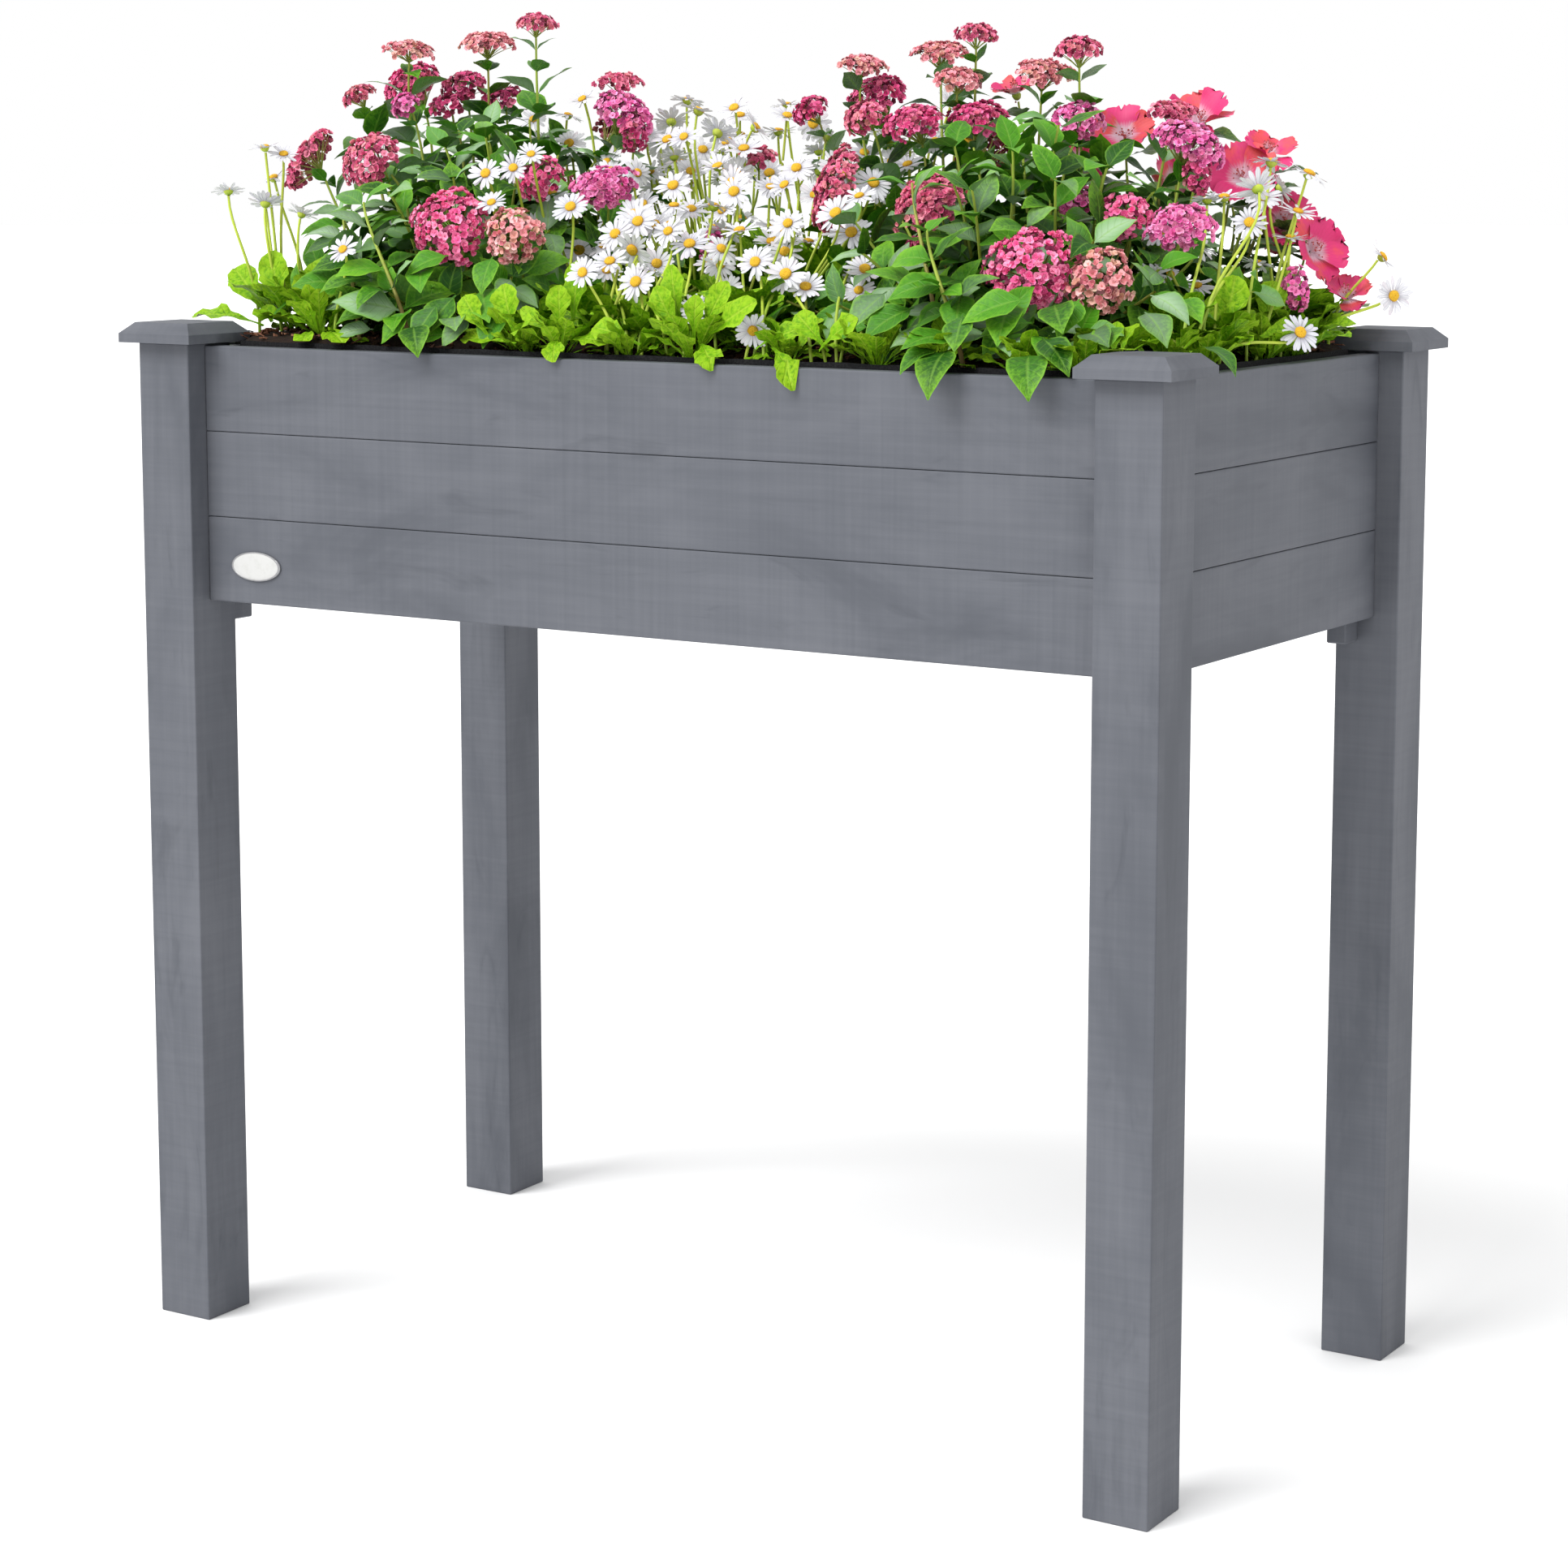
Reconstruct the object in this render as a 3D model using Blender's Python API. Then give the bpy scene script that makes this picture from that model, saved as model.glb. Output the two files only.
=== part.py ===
"""Planted raised bed: a painted timber box on four legs, lined, filled with soil and planted.

Metres, +Z up, +X along the box, front towards -Y. The origin is on the ground, under the middle of the box.
"""

import math

import bmesh
import bpy
from mathutils import Vector

# Driving dimensions of the timber box
LENGTH = 0.850  # over the legs, along X
DEPTH = 0.439  # over the legs, along Y
LEG = 0.048
LEG_HEIGHT = 0.7512
CAP_OVERHANG = 0.0105
CAP_BAND = 0.0068
CAP_CHAMFER_RISE = 0.0082
CAP_CHAMFER_RUN = 0.0088
PLANK_HEIGHT = 0.064
PLANK_THICKNESS = 0.012
PLANK_ROWS = ("top", "middle", "bottom")
PLANK_INSET = 0.0184  # plank face behind the leg face
PLANK_TOP = 0.7494
BATTEN_THICKNESS = 0.015
BATTEN_WIDTH = 0.022
BATTEN_DROP = 0.018  # end battens reach this far under the planks
BEARER_WIDTH = 0.020
BEARER_HEIGHT = 0.025
BEARER_LIFT = 0.0027  # bearer underside above the plank underside
FLOOR_BOARD = 0.012
FLOOR_GAP = 0.004
PLATE_LENGTH = 0.047
PLATE_HEIGHT = 0.022
PLATE_THICKNESS = 0.0016
PLATE_CENTRE = (-0.330, 0.586)
PLATE_SIDES = 28
ARRIS = 0.0010
GAP = 0.0003  # between pieces that touch
SHARP_EDGE = 50  # degrees; softer edges are shaded as one curve

# Liner and soil
LINER_WALL = 0.0015
LINER_PROUD = 0.0040  # liner lip above the planks
SOIL_EDGE = 0.7470
SOIL_TOP = 0.7570
SOIL_SLOPE = 0.018  # width of the slope from the wall to the level soil

# Planes that follow from the sizes above
HALF_X = LENGTH / 2
HALF_Y = DEPTH / 2
FACE_X = HALF_X - PLANK_INSET
FACE_Y = HALF_Y - PLANK_INSET
BACK_X = FACE_X - PLANK_THICKNESS
BACK_Y = FACE_Y - PLANK_THICKNESS
LEG_X = HALF_X - LEG
LEG_Y = HALF_Y - LEG
CAP_X = LEG_X - CAP_OVERHANG
CAP_Y = LEG_Y - CAP_OVERHANG
PLANK_BOTTOM = PLANK_TOP - len(PLANK_ROWS) * PLANK_HEIGHT
BEARER_BOTTOM = PLANK_BOTTOM + BEARER_LIFT
FLOOR_BOTTOM = BEARER_BOTTOM + BEARER_HEIGHT + GAP
LINER_BOTTOM = FLOOR_BOTTOM + FLOOR_BOARD + GAP
LINER_TOP = PLANK_TOP + LINER_PROUD
PLANT_BASE = SOIL_TOP + GAP

# Foliage: share of full radius at each share of full height, from the soil up
SHRUB_PROFILE = (
    (0.0, 0.42),
    (0.10, 0.72),
    (0.28, 0.98),
    (0.50, 1.0),
    (0.72, 0.84),
    (0.90, 0.55),
    (1.0, 0.26),
)
ROSETTE_PROFILE = ((0.0, 0.45), (0.35, 1.0), (0.75, 0.86), (1.0, 0.35))
FOLIAGE_SIDES = 18
LOBE_DEPTH = 0.07

# Flower head: share of head radius across, and share of head radius above its centre
DOME_PROFILE = ((0.45, -0.42), (0.92, -0.28), (1.0, -0.02), (0.84, 0.30), (0.46, 0.52))
DOME_SIDES = 12
NECK = 1.25  # where the stalk ends under a head, as a multiple of the lowest rise
STALK = 0.0018
STALK_LENGTH = 0.045
ROOT_RISE = 0.35  # the stalks point at this share of the plant's height

# Daisy: ray disc on a thin stem
DAISY_RADIUS = 0.0115
DAISY_STEM = 0.0013
DAISY_SIDES = 8
STEM_SPREAD = 0.45  # stems start at this share of the rosette's radius
STEM_RISE = 0.4  # and at this share of its height
DISC_PROFILE = ((0.25, -0.34), (1.0, -0.06), (1.0, 0.08), (0.35, 0.26))

# Mallow blossom: open cup
BLOSSOM_PROFILE = ((0.16, -0.46), (0.62, -0.26), (1.0, 0.10), (0.94, 0.20), (0.50, 0.02))

SLATE = ((0.185, 0.200, 0.225, 1.0), 0.62)
PLATE_WHITE = ((0.72, 0.72, 0.70, 1.0), 0.45)
LINER_BLACK = ((0.012, 0.012, 0.013, 1.0), 0.85)
SOIL_BROWN = ((0.060, 0.034, 0.020, 1.0), 0.95)
SHRUB_GREEN = ((0.060, 0.190, 0.030, 1.0), 0.55)
DAISY_GREEN = ((0.190, 0.380, 0.030, 1.0), 0.55)
HEAD_PINK = ((0.620, 0.070, 0.220, 1.0), 0.60)
BLOSSOM_RED = ((0.760, 0.050, 0.150, 1.0), 0.55)


def clear_scene():
    """Removes every object, so that the script starts from an empty scene."""
    for thing in list(bpy.data.objects):
        bpy.data.objects.remove(thing, do_unlink=True)


def finish_material(name, finish):
    """A Principled material with one colour and roughness, made once for each name."""
    if name in bpy.data.materials:
        return bpy.data.materials[name]
    colour, roughness = finish
    material = bpy.data.materials.new(name)
    material.use_nodes = True
    shader = material.node_tree.nodes["Principled BSDF"]
    shader.inputs["Base Color"].default_value = colour
    shader.inputs["Roughness"].default_value = roughness
    shader.inputs["Metallic"].default_value = 0.0
    material.diffuse_color = colour
    return material


def make_object(name, points, faces, finish, slot, smooth=False):
    """An object from points and faces, with outward normals."""
    mesh = bpy.data.meshes.new(name)
    shape = bmesh.new()
    corners = [shape.verts.new(point) for point in points]
    for face in faces:
        shape.faces.new([corners[index] for index in face])
    bmesh.ops.recalc_face_normals(shape, faces=shape.faces)
    shape.to_mesh(mesh)
    shape.free()
    if smooth:
        mesh.shade_smooth()
        mesh.set_sharp_from_angle(angle=math.radians(SHARP_EDGE))
    thing = bpy.data.objects.new(name, mesh)
    thing.data.materials.append(finish_material(slot, finish))
    bpy.context.scene.collection.objects.link(thing)
    return thing


def add_bevel(thing, width, segments):
    """Eases an object's edges with a Bevel modifier."""
    bevel = thing.modifiers.new("arris", "BEVEL")
    bevel.width = width
    bevel.segments = segments
    bevel.limit_method = "ANGLE"


def timber(name, low, high, slot="timber", segments=1):
    """A sawn piece between two opposite corners, with eased edges."""
    points = [(x, y, z) for x in (low[0], high[0]) for y in (low[1], high[1]) for z in (low[2], high[2])]
    faces = [(0, 1, 3, 2), (4, 6, 7, 5), (0, 4, 5, 1), (2, 3, 7, 6), (0, 2, 6, 4), (1, 5, 7, 3)]
    thing = make_object(name, points, faces, SLATE, slot)
    add_bevel(thing, ARRIS, segments)
    return thing


def span(sign, near, far):
    """The ordered pair of coordinates between near and far, on the side that sign gives."""
    return tuple(sorted((sign * near, sign * far)))


def loft(rings):
    """Faces that join equal rings of point numbers, closed by a face at each end."""
    faces = []
    for lower, upper in zip(rings, rings[1:]):
        count = len(lower)
        for i in range(count):
            j = (i + 1) % count
            faces.append((lower[i], lower[j], upper[j], upper[i]))
    faces.append(tuple(reversed(rings[0])))
    faces.append(tuple(rings[-1]))
    return faces


def lofted(name, sections, finish, slot, smooth=False):
    """A closed solid through sections, which are lists of as many points each."""
    points = [point for section in sections for point in section]
    count = len(sections[0])
    rings = [list(range(k * count, (k + 1) * count)) for k in range(len(sections))]
    return make_object(name, points, loft(rings), finish, slot, smooth)


def square(cx, cy, half, z):
    """The corners of a level square, anticlockwise."""
    return [(cx + a * half, cy + b * half, z) for a, b in ((-1, -1), (1, -1), (1, 1), (-1, 1))]


def build_legs():
    """Four square legs, each with a chamfered cap on its end."""
    for side, sx in (("left", -1), ("right", 1)):
        for end, sy in (("front", -1), ("back", 1)):
            x0, x1 = span(sx, LEG_X, HALF_X)
            y0, y1 = span(sy, LEG_Y, HALF_Y)
            timber(f"leg_{end}_{side}", (x0, y0, 0.0), (x1, y1, LEG_HEIGHT), "leg", segments=2)
            centre = (sx * (HALF_X - LEG / 2), sy * (HALF_Y - LEG / 2))
            wide = LEG / 2 + CAP_OVERHANG
            foot = LEG_HEIGHT + GAP
            shoulder = foot + CAP_BAND
            crown = shoulder + CAP_CHAMFER_RISE
            sections = [
                square(*centre, wide, foot),
                square(*centre, wide, shoulder),
                square(*centre, wide - CAP_CHAMFER_RUN, crown),
            ]
            lofted(f"leg_cap_{end}_{side}", sections, SLATE, "cap")


def build_planks():
    """Three planks on each side, between the legs."""
    for row, label in enumerate(PLANK_ROWS):
        top = PLANK_TOP - row * PLANK_HEIGHT
        bottom = top - PLANK_HEIGHT + GAP
        for side, sign in (("front", -1), ("back", 1)):
            y0, y1 = span(sign, BACK_Y, FACE_Y)
            reach = LEG_X - GAP
            timber(f"{side}_plank_{label}", (-reach, y0, bottom), (reach, y1, top), "long_plank", segments=2)
        for side, sign in (("left", -1), ("right", 1)):
            x0, x1 = span(sign, BACK_X, FACE_X)
            reach = LEG_Y - GAP
            timber(f"{side}_plank_{label}", (x0, -reach, bottom), (x1, reach, top), "end_plank", segments=2)


def build_battens():
    """Upright battens behind the ends of the planks, against the legs."""
    for side, sx in (("left", -1), ("right", 1)):
        for end, sy in (("front", -1), ("back", 1)):
            x0, x1 = span(sx, BACK_X - GAP - BATTEN_THICKNESS, BACK_X - GAP)
            y0, y1 = span(sy, LEG_Y - GAP - BATTEN_WIDTH, LEG_Y - GAP)
            low = PLANK_BOTTOM - BATTEN_DROP
            timber(f"{side}_batten_{end}", (x0, y0, low), (x1, y1, PLANK_TOP - 2 * ARRIS), "batten")
            x0, x1 = span(sx, LEG_X - GAP - BATTEN_WIDTH, LEG_X - GAP)
            y0, y1 = span(sy, BACK_Y - GAP - BATTEN_THICKNESS, BACK_Y - GAP)
            low = PLANK_BOTTOM + BEARER_LIFT
            timber(f"{end}_batten_{side}", (x0, y0, low), (x1, y1, PLANK_TOP - 2 * ARRIS), "batten")


def build_floor():
    """Bearers across the box, with floor boards along it."""
    reach = BACK_Y - GAP
    end = LEG_X - BATTEN_WIDTH - 2 * GAP - BEARER_WIDTH / 2
    for label, x in (("left", -end), ("middle", 0.0), ("right", end)):
        low = (x - BEARER_WIDTH / 2, -reach, BEARER_BOTTOM)
        high = (x + BEARER_WIDTH / 2, reach, BEARER_BOTTOM + BEARER_HEIGHT)
        timber(f"floor_bearer_{label}", low, high, "floor")
    inner = LEG_Y - BATTEN_WIDTH - 2 * GAP
    board = (2 * inner - 2 * FLOOR_GAP) / 3
    top = FLOOR_BOTTOM + FLOOR_BOARD
    reach = BACK_X - GAP
    for label, place in (("front", -1), ("middle", 0), ("back", 1)):
        y = place * (board + FLOOR_GAP)
        low = (-reach, y - board / 2, FLOOR_BOTTOM)
        timber(f"floor_board_{label}", low, (reach, y + board / 2, top), "floor")
    reach = LEG_X - BATTEN_WIDTH - 2 * GAP
    for label, sign in (("front", -1), ("back", 1)):
        y0, y1 = span(sign, inner + FLOOR_GAP, BACK_Y - GAP)
        timber(f"floor_edge_board_{label}", (-reach, y0, FLOOR_BOTTOM), (reach, y1, top), "floor")


def offset_outline(outline, distance):
    """The outline, anticlockwise, moved inwards by a distance."""
    moved = []
    count = len(outline)
    for i, point in enumerate(outline):
        before = (Vector(point) - Vector(outline[i - 1])).normalized()
        after = (Vector(outline[(i + 1) % count]) - Vector(point)).normalized()
        inward_a = Vector((-before.y, before.x))
        inward_b = Vector((-after.y, after.x))
        bisector = (inward_a + inward_b).normalized()
        moved.append(Vector(point) + bisector * (distance / bisector.dot(inward_a)))
    return moved


def liner_outline():
    """The liner's plan, anticlockwise: a rectangle stepped in at the legs, battens and caps."""
    far_x = BACK_X - 2 * GAP
    far_y = BACK_Y - 2 * GAP
    step_x = (LEG_X - BATTEN_WIDTH - 3 * GAP, CAP_X - GAP, BACK_X - BATTEN_THICKNESS - 3 * GAP)
    step_y = (LEG_Y - BATTEN_WIDTH - 3 * GAP, CAP_Y - GAP, BACK_Y - BATTEN_THICKNESS - 3 * GAP)
    corner = [
        (far_x, step_y[0]),
        (step_x[2], step_y[0]),
        (step_x[2], step_y[1]),
        (step_x[1], step_y[1]),
        (step_x[1], step_y[2]),
        (step_x[0], step_y[2]),
        (step_x[0], far_y),
    ]
    back_left = [(-x, y) for x, y in reversed(corner)]
    front_left = [(-x, -y) for x, y in corner]
    front_right = [(x, -y) for x, y in reversed(corner)]
    return corner + back_left + front_left + front_right


def raised(outline, z):
    """The points of a plan outline at one height."""
    return [(point[0], point[1], z) for point in outline]


def build_liner():
    """A thin open tray of black fabric that holds the soil."""
    outline = liner_outline()
    inner = offset_outline(outline, LINER_WALL)
    sections = [
        raised(outline, LINER_BOTTOM),
        raised(outline, LINER_TOP),
        raised(inner, LINER_TOP),
        raised(inner, LINER_BOTTOM + LINER_WALL),
    ]
    lofted("liner", sections, LINER_BLACK, "liner")


def drawn_in(outline, distance):
    """The outline shrunk towards the middle of the box, by a distance at its ends and sides."""
    return [(x * (1 - distance / HALF_X), y * (1 - distance / HALF_Y)) for x, y in outline]


def build_soil():
    """Soil that fills the liner, level in the middle and lower along the walls."""
    outline = offset_outline(liner_outline(), LINER_WALL + GAP)
    sections = [
        raised(outline, LINER_BOTTOM + LINER_WALL + GAP),
        raised(outline, SOIL_EDGE),
        raised(drawn_in(outline, SOIL_SLOPE / 2), (2 * SOIL_TOP + SOIL_EDGE) / 3),
        raised(drawn_in(outline, SOIL_SLOPE), SOIL_TOP),
    ]
    lofted("soil", sections, SOIL_BROWN, "soil")


def build_plate():
    """A blank oval plate on the lowest front plank."""
    x, z = PLATE_CENTRE
    back = -FACE_Y - GAP
    sections = []
    for y in (back, back - PLATE_THICKNESS):
        ring = []
        for i in range(PLATE_SIDES):
            angle = math.tau * i / PLATE_SIDES
            ring.append((x + PLATE_LENGTH / 2 * math.cos(angle), y, z + PLATE_HEIGHT / 2 * math.sin(angle)))
        sections.append(ring)
    lofted("oval_plate", sections, PLATE_WHITE, "plate")


def foliage(name, centre, radii, height, profile, finish, slot, lobes=5, turn=0.0):
    """A leafy mass on the soil: stacked oval rings with soft lobes."""
    sections = []
    for level, (rise, share) in enumerate(profile):
        ring = []
        for i in range(FOLIAGE_SIDES):
            angle = math.tau * i / FOLIAGE_SIDES
            wave = 1 + LOBE_DEPTH * math.cos(lobes * angle + turn + 1.7 * level)
            x = centre[0] + radii[0] * share * wave * math.cos(angle)
            y = centre[1] + radii[1] * share * wave * math.sin(angle)
            ring.append((x, y, PLANT_BASE + height * rise))
        sections.append(ring)
    return lofted(name, sections, finish, slot, smooth=True)


def turned(name, foot, head, radius, stem, profile, sides, finish, slot, grow=0.0):
    """A head on a stalk, turned about the line from foot to head: one closed solid."""
    foot, head = Vector(foot), Vector(head)
    axis = (head - foot).normalized()
    across = axis.orthogonal().normalized()
    other = axis.cross(across)
    neck = head + axis * (radius * profile[0][1] * NECK - grow)
    rings = [(foot - axis * grow, stem + grow), (neck, stem + grow)]
    for share, rise in profile:
        rings.append((head + axis * (radius * rise + math.copysign(grow, rise)), radius * share + grow))
    sections = []
    for middle, wide in rings:
        ring = []
        for i in range(sides):
            angle = math.tau * i / sides
            ring.append(middle + (across * math.cos(angle) + other * math.sin(angle)) * wide)
        sections.append(ring)
    return lofted(name, sections, finish, slot, smooth=True)


def as_cutter(thing):
    """Marks an object as a tool that only cuts others."""
    thing.hide_render = True
    thing.display_type = "WIRE"
    return thing


def combine(thing, tool, operation):
    """Adds an exact Boolean to an object, and hides the tool."""
    boolean = thing.modifiers.new(f"{operation.lower()}_{tool.name}"[:60], "BOOLEAN")
    boolean.operation = operation
    boolean.solver = "EXACT"
    boolean.object = as_cutter(tool)


def stalk_foot(head, root, length):
    """Where a head's stalk starts: that far from the head, towards the middle of its plant."""
    head = Vector(head)
    return head + (Vector(root) - head).normalized() * length


class Shrub:
    """A flowering shrub: one leafy mass, and domed flower heads set in it on stalks."""

    def __init__(self, label, centre, radii, height, turn, heads):
        self.label = label
        self.centre = centre
        self.radii = radii
        self.height = height
        self.turn = turn
        self.heads = heads

    def build(self):
        name = f"hydrangea_{self.label}_bush"
        place = (self.centre, self.radii, self.height, SHRUB_PROFILE, SHRUB_GREEN, "shrub_leaves")
        bush = foliage(name, *place, lobes=5, turn=self.turn)
        root = (*self.centre, PLANT_BASE + ROOT_RISE * self.height)
        for label, head, radius, reach in self.heads:
            foot = stalk_foot(head, root, STALK_LENGTH + reach)
            sizes = (foot, head, radius, STALK, DOME_PROFILE, DOME_SIDES, HEAD_PINK, "shrub_flowers")
            turned(f"hydrangea_{self.label}_{label}", *sizes)
            pocket = turned(f"cut_{self.label}_{label}", *sizes, grow=GAP)
            combine(bush, pocket, "DIFFERENCE")


SHRUBS = (
    Shrub("left", (-0.245, 0.010), (0.108, 0.128), 0.178, 0.4, (
        ("top_head", (-0.244, 0.030, 0.986), 0.015, 0.030),
        ("upper_head", (-0.316, 0.060, 0.962), 0.024, 0.030),
        ("side_head", (-0.340, -0.060, 0.886), 0.025, 0.0),
        ("front_head", (-0.212, -0.130, 0.836), 0.028, 0.0),
        ("pale_head", (-0.157, -0.120, 0.829), 0.022, 0.0),
        ("right_head", (-0.135, -0.020, 0.880), 0.025, 0.0),
    )),
    Shrub("right", (0.197, -0.012), (0.128, 0.100), 0.172, 1.9, (
        ("top_head", (0.145, 0.050, 0.977), 0.016, 0.030),
        ("upper_head", (0.234, 0.050, 0.964), 0.018, 0.025),
        ("back_head", (0.085, 0.055, 0.935), 0.028, 0.030),
        ("side_head", (0.160, -0.100, 0.860), 0.027, 0.0),
        ("front_head", (0.286, -0.130, 0.811), 0.029, 0.0),
        ("pale_head", (0.337, -0.115, 0.806), 0.022, 0.045),
        ("right_head", (0.322, 0.020, 0.880), 0.026, 0.0),
    )),
)


class DaisyClump:
    """A low rosette of leaves with ray flowers on thin stems, grown as one plant."""

    def __init__(self, label, centre, radii, height, flowers):
        self.label = label
        self.centre = centre
        self.radii = radii
        self.height = height
        self.flowers = flowers

    def stem_root(self, axis, flower):
        """Where a flower's stem leaves the rosette along one axis: inside it, on the flower's side."""
        away = max(-self.radii[axis], min(self.radii[axis], flower - self.centre[axis]))
        return self.centre[axis] + STEM_SPREAD * away

    def build(self):
        name = f"daisies_{self.label}"
        place = (self.centre, self.radii, self.height, ROSETTE_PROFILE, DAISY_GREEN, "daisy_plant")
        clump = foliage(name, *place, lobes=6)
        for number, (x, y, z) in enumerate(self.flowers):
            foot = (
                self.stem_root(0, x),
                self.stem_root(1, y),
                PLANT_BASE + STEM_RISE * self.height,
            )
            sizes = (foot, (x, y, z), DAISY_RADIUS, DAISY_STEM, DISC_PROFILE, DAISY_SIDES)
            stem = turned(f"stem_{self.label}_{number}", *sizes, DAISY_GREEN, "daisy_plant")
            combine(clump, stem, "UNION")


DAISIES = (
    DaisyClump("left", (-0.340, -0.122), (0.034, 0.036), 0.050, (
        (-0.414, -0.140, 0.859),
        (-0.392, -0.110, 0.893),
        (-0.372, -0.130, 0.852),
        (-0.310, -0.148, 0.820),
    )),
    DaisyClump("middle", (-0.035, -0.100), (0.090, 0.052), 0.042, (
        (-0.070, 0.030, 0.915),
        (-0.082, -0.030, 0.866),
        (-0.025, -0.045, 0.862),
        (0.010, -0.080, 0.842),
        (-0.060, -0.110, 0.834),
        (0.048, -0.150, 0.818),
        (-0.092, -0.160, 0.809),
    )),
    DaisyClump("right", (0.352, 0.000), (0.014, 0.045), 0.030, (
        (0.385, 0.045, 0.848),
        (0.422, 0.120, 0.815),
        (0.415, -0.010, 0.786),
    )),
)


MALLOW_CENTRE = (0.262, 0.134)
MALLOW_RADII = (0.096, 0.026)
MALLOW_HEIGHT = 0.118
MALLOW_STALK = 0.055
MALLOW_BLOSSOMS = (
    ("left", (0.215, 0.125, 0.912), 0.030),
    ("right", (0.325, 0.140, 0.874), 0.032),
)


def build_mallow():
    """A low mallow bush along the back, with open blossoms set in it."""
    place = (MALLOW_CENTRE, MALLOW_RADII, MALLOW_HEIGHT, SHRUB_PROFILE, SHRUB_GREEN, "mallow_leaves")
    bush = foliage("mallow_bush", *place, lobes=4, turn=0.8)
    root = (*MALLOW_CENTRE, PLANT_BASE + ROOT_RISE * MALLOW_HEIGHT)
    for label, head, radius in MALLOW_BLOSSOMS:
        foot = stalk_foot(head, root, MALLOW_STALK)
        sizes = (foot, head, radius, STALK, BLOSSOM_PROFILE, DOME_SIDES, BLOSSOM_RED, "mallow_petals")
        turned(f"mallow_blossom_{label}", *sizes)
        pocket = turned(f"cut_mallow_{label}", *sizes, grow=GAP)
        combine(bush, pocket, "DIFFERENCE")


def main():
    """Builds the box, what it holds, and the plants."""
    clear_scene()
    build_legs()
    build_planks()
    build_battens()
    build_floor()
    build_plate()
    build_liner()
    build_soil()
    for plant in SHRUBS + DAISIES:
        plant.build()
    build_mallow()


main()
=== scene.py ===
"""Planted raised bed: painted timber, liner, soil, two flowering shrubs, daisies and a mallow.

Metres, +Z up, +X along the box, front towards -Y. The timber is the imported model's own; everything else is
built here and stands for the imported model's plain solids.
"""

import logging
import math
import re
from dataclasses import dataclass
from enum import Enum
from typing import Union

import bmesh
import bpy
import numpy as np
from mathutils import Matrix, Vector


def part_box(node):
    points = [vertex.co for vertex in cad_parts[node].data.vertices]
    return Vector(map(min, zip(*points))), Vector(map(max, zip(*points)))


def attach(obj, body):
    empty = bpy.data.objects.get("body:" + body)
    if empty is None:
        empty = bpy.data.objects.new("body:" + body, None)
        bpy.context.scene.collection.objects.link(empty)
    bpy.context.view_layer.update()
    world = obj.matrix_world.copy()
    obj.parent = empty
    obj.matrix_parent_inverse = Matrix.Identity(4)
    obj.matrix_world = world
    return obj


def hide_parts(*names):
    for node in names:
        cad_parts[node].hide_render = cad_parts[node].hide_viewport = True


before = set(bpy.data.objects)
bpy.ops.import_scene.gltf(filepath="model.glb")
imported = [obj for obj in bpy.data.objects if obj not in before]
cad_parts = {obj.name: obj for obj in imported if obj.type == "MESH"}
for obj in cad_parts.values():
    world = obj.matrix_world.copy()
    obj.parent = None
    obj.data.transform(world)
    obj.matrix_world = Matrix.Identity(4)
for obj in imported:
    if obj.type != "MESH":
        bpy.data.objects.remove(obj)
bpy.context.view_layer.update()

Array = np.ndarray
Colour = tuple[float, float, float]
Point = tuple[float, float, float]
Pair = tuple[float, float]
Random = np.random.Generator
Material = bpy.types.Material
Thing = bpy.types.Object
Value = Union["Wire", float, Colour]

LOG = logging.getLogger("raised_bed")
UP = np.array((0.0, 0.0, 1.0))
ACROSS = np.array((1.0, 0.0, 0.0))
BACK = np.array((0.0, 1.0, 0.0))
GOLDEN_TURN = math.pi * (3 - math.sqrt(5))
BODY = "root"

# Levels and planes of the timber box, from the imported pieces
PLANK_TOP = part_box("front_plank_top")[1].z
FACE_Y = -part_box("front_plank_top")[0].y
BACK_Y = -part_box("front_plank_top")[1].y
FACE_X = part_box("right_plank_top")[1].x
BACK_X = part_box("right_plank_top")[0].x
CAP_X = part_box("leg_cap_front_right")[0].x
CAP_Y = -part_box("leg_cap_front_right")[1].y
CAP_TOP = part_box("leg_cap_front_right")[1].z
BATTEN_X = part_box("front_batten_right")[0].x
BATTEN_Y = -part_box("right_batten_front")[1].y
BATTEN_FACE_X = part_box("right_batten_front")[0].x
BATTEN_FACE_Y = -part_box("front_batten_right")[1].y
LINER_LOW, LINER_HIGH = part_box("liner")
SOIL_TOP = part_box("soil")[1].z
# How far over the planks a leaf lies that crosses the liner's lip
LIP_RISE = 0.0055


# ---- Vectors ----


def unit(vectors: Array) -> Array:
    """Scales vectors to a length of one.

    Args:
        vectors: Vectors along the last axis.

    Returns:
        The same directions, one long.
    """
    return vectors / np.maximum(np.linalg.norm(vectors, axis=-1, keepdims=True), 1e-9)


def square_to(axis: Array, hint: Array) -> Array:
    """Finds the directions square to an axis that come nearest to a hint.

    Args:
        axis: Unit vectors.
        hint: Directions to come near to.

    Returns:
        Unit vectors square to the axis.
    """
    return unit(hint - (hint * axis).sum(-1, keepdims=True) * axis)


def side_of(axis: Array) -> Array:
    """Gives level unit vectors square to an axis, or along X for an upright one.

    Args:
        axis: Unit vectors.

    Returns:
        Level unit vectors.
    """
    level = np.cross(axis, UP)
    upright = np.linalg.norm(level, axis=-1, keepdims=True) < 0.05
    return unit(np.where(upright, ACROSS, level))


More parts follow.
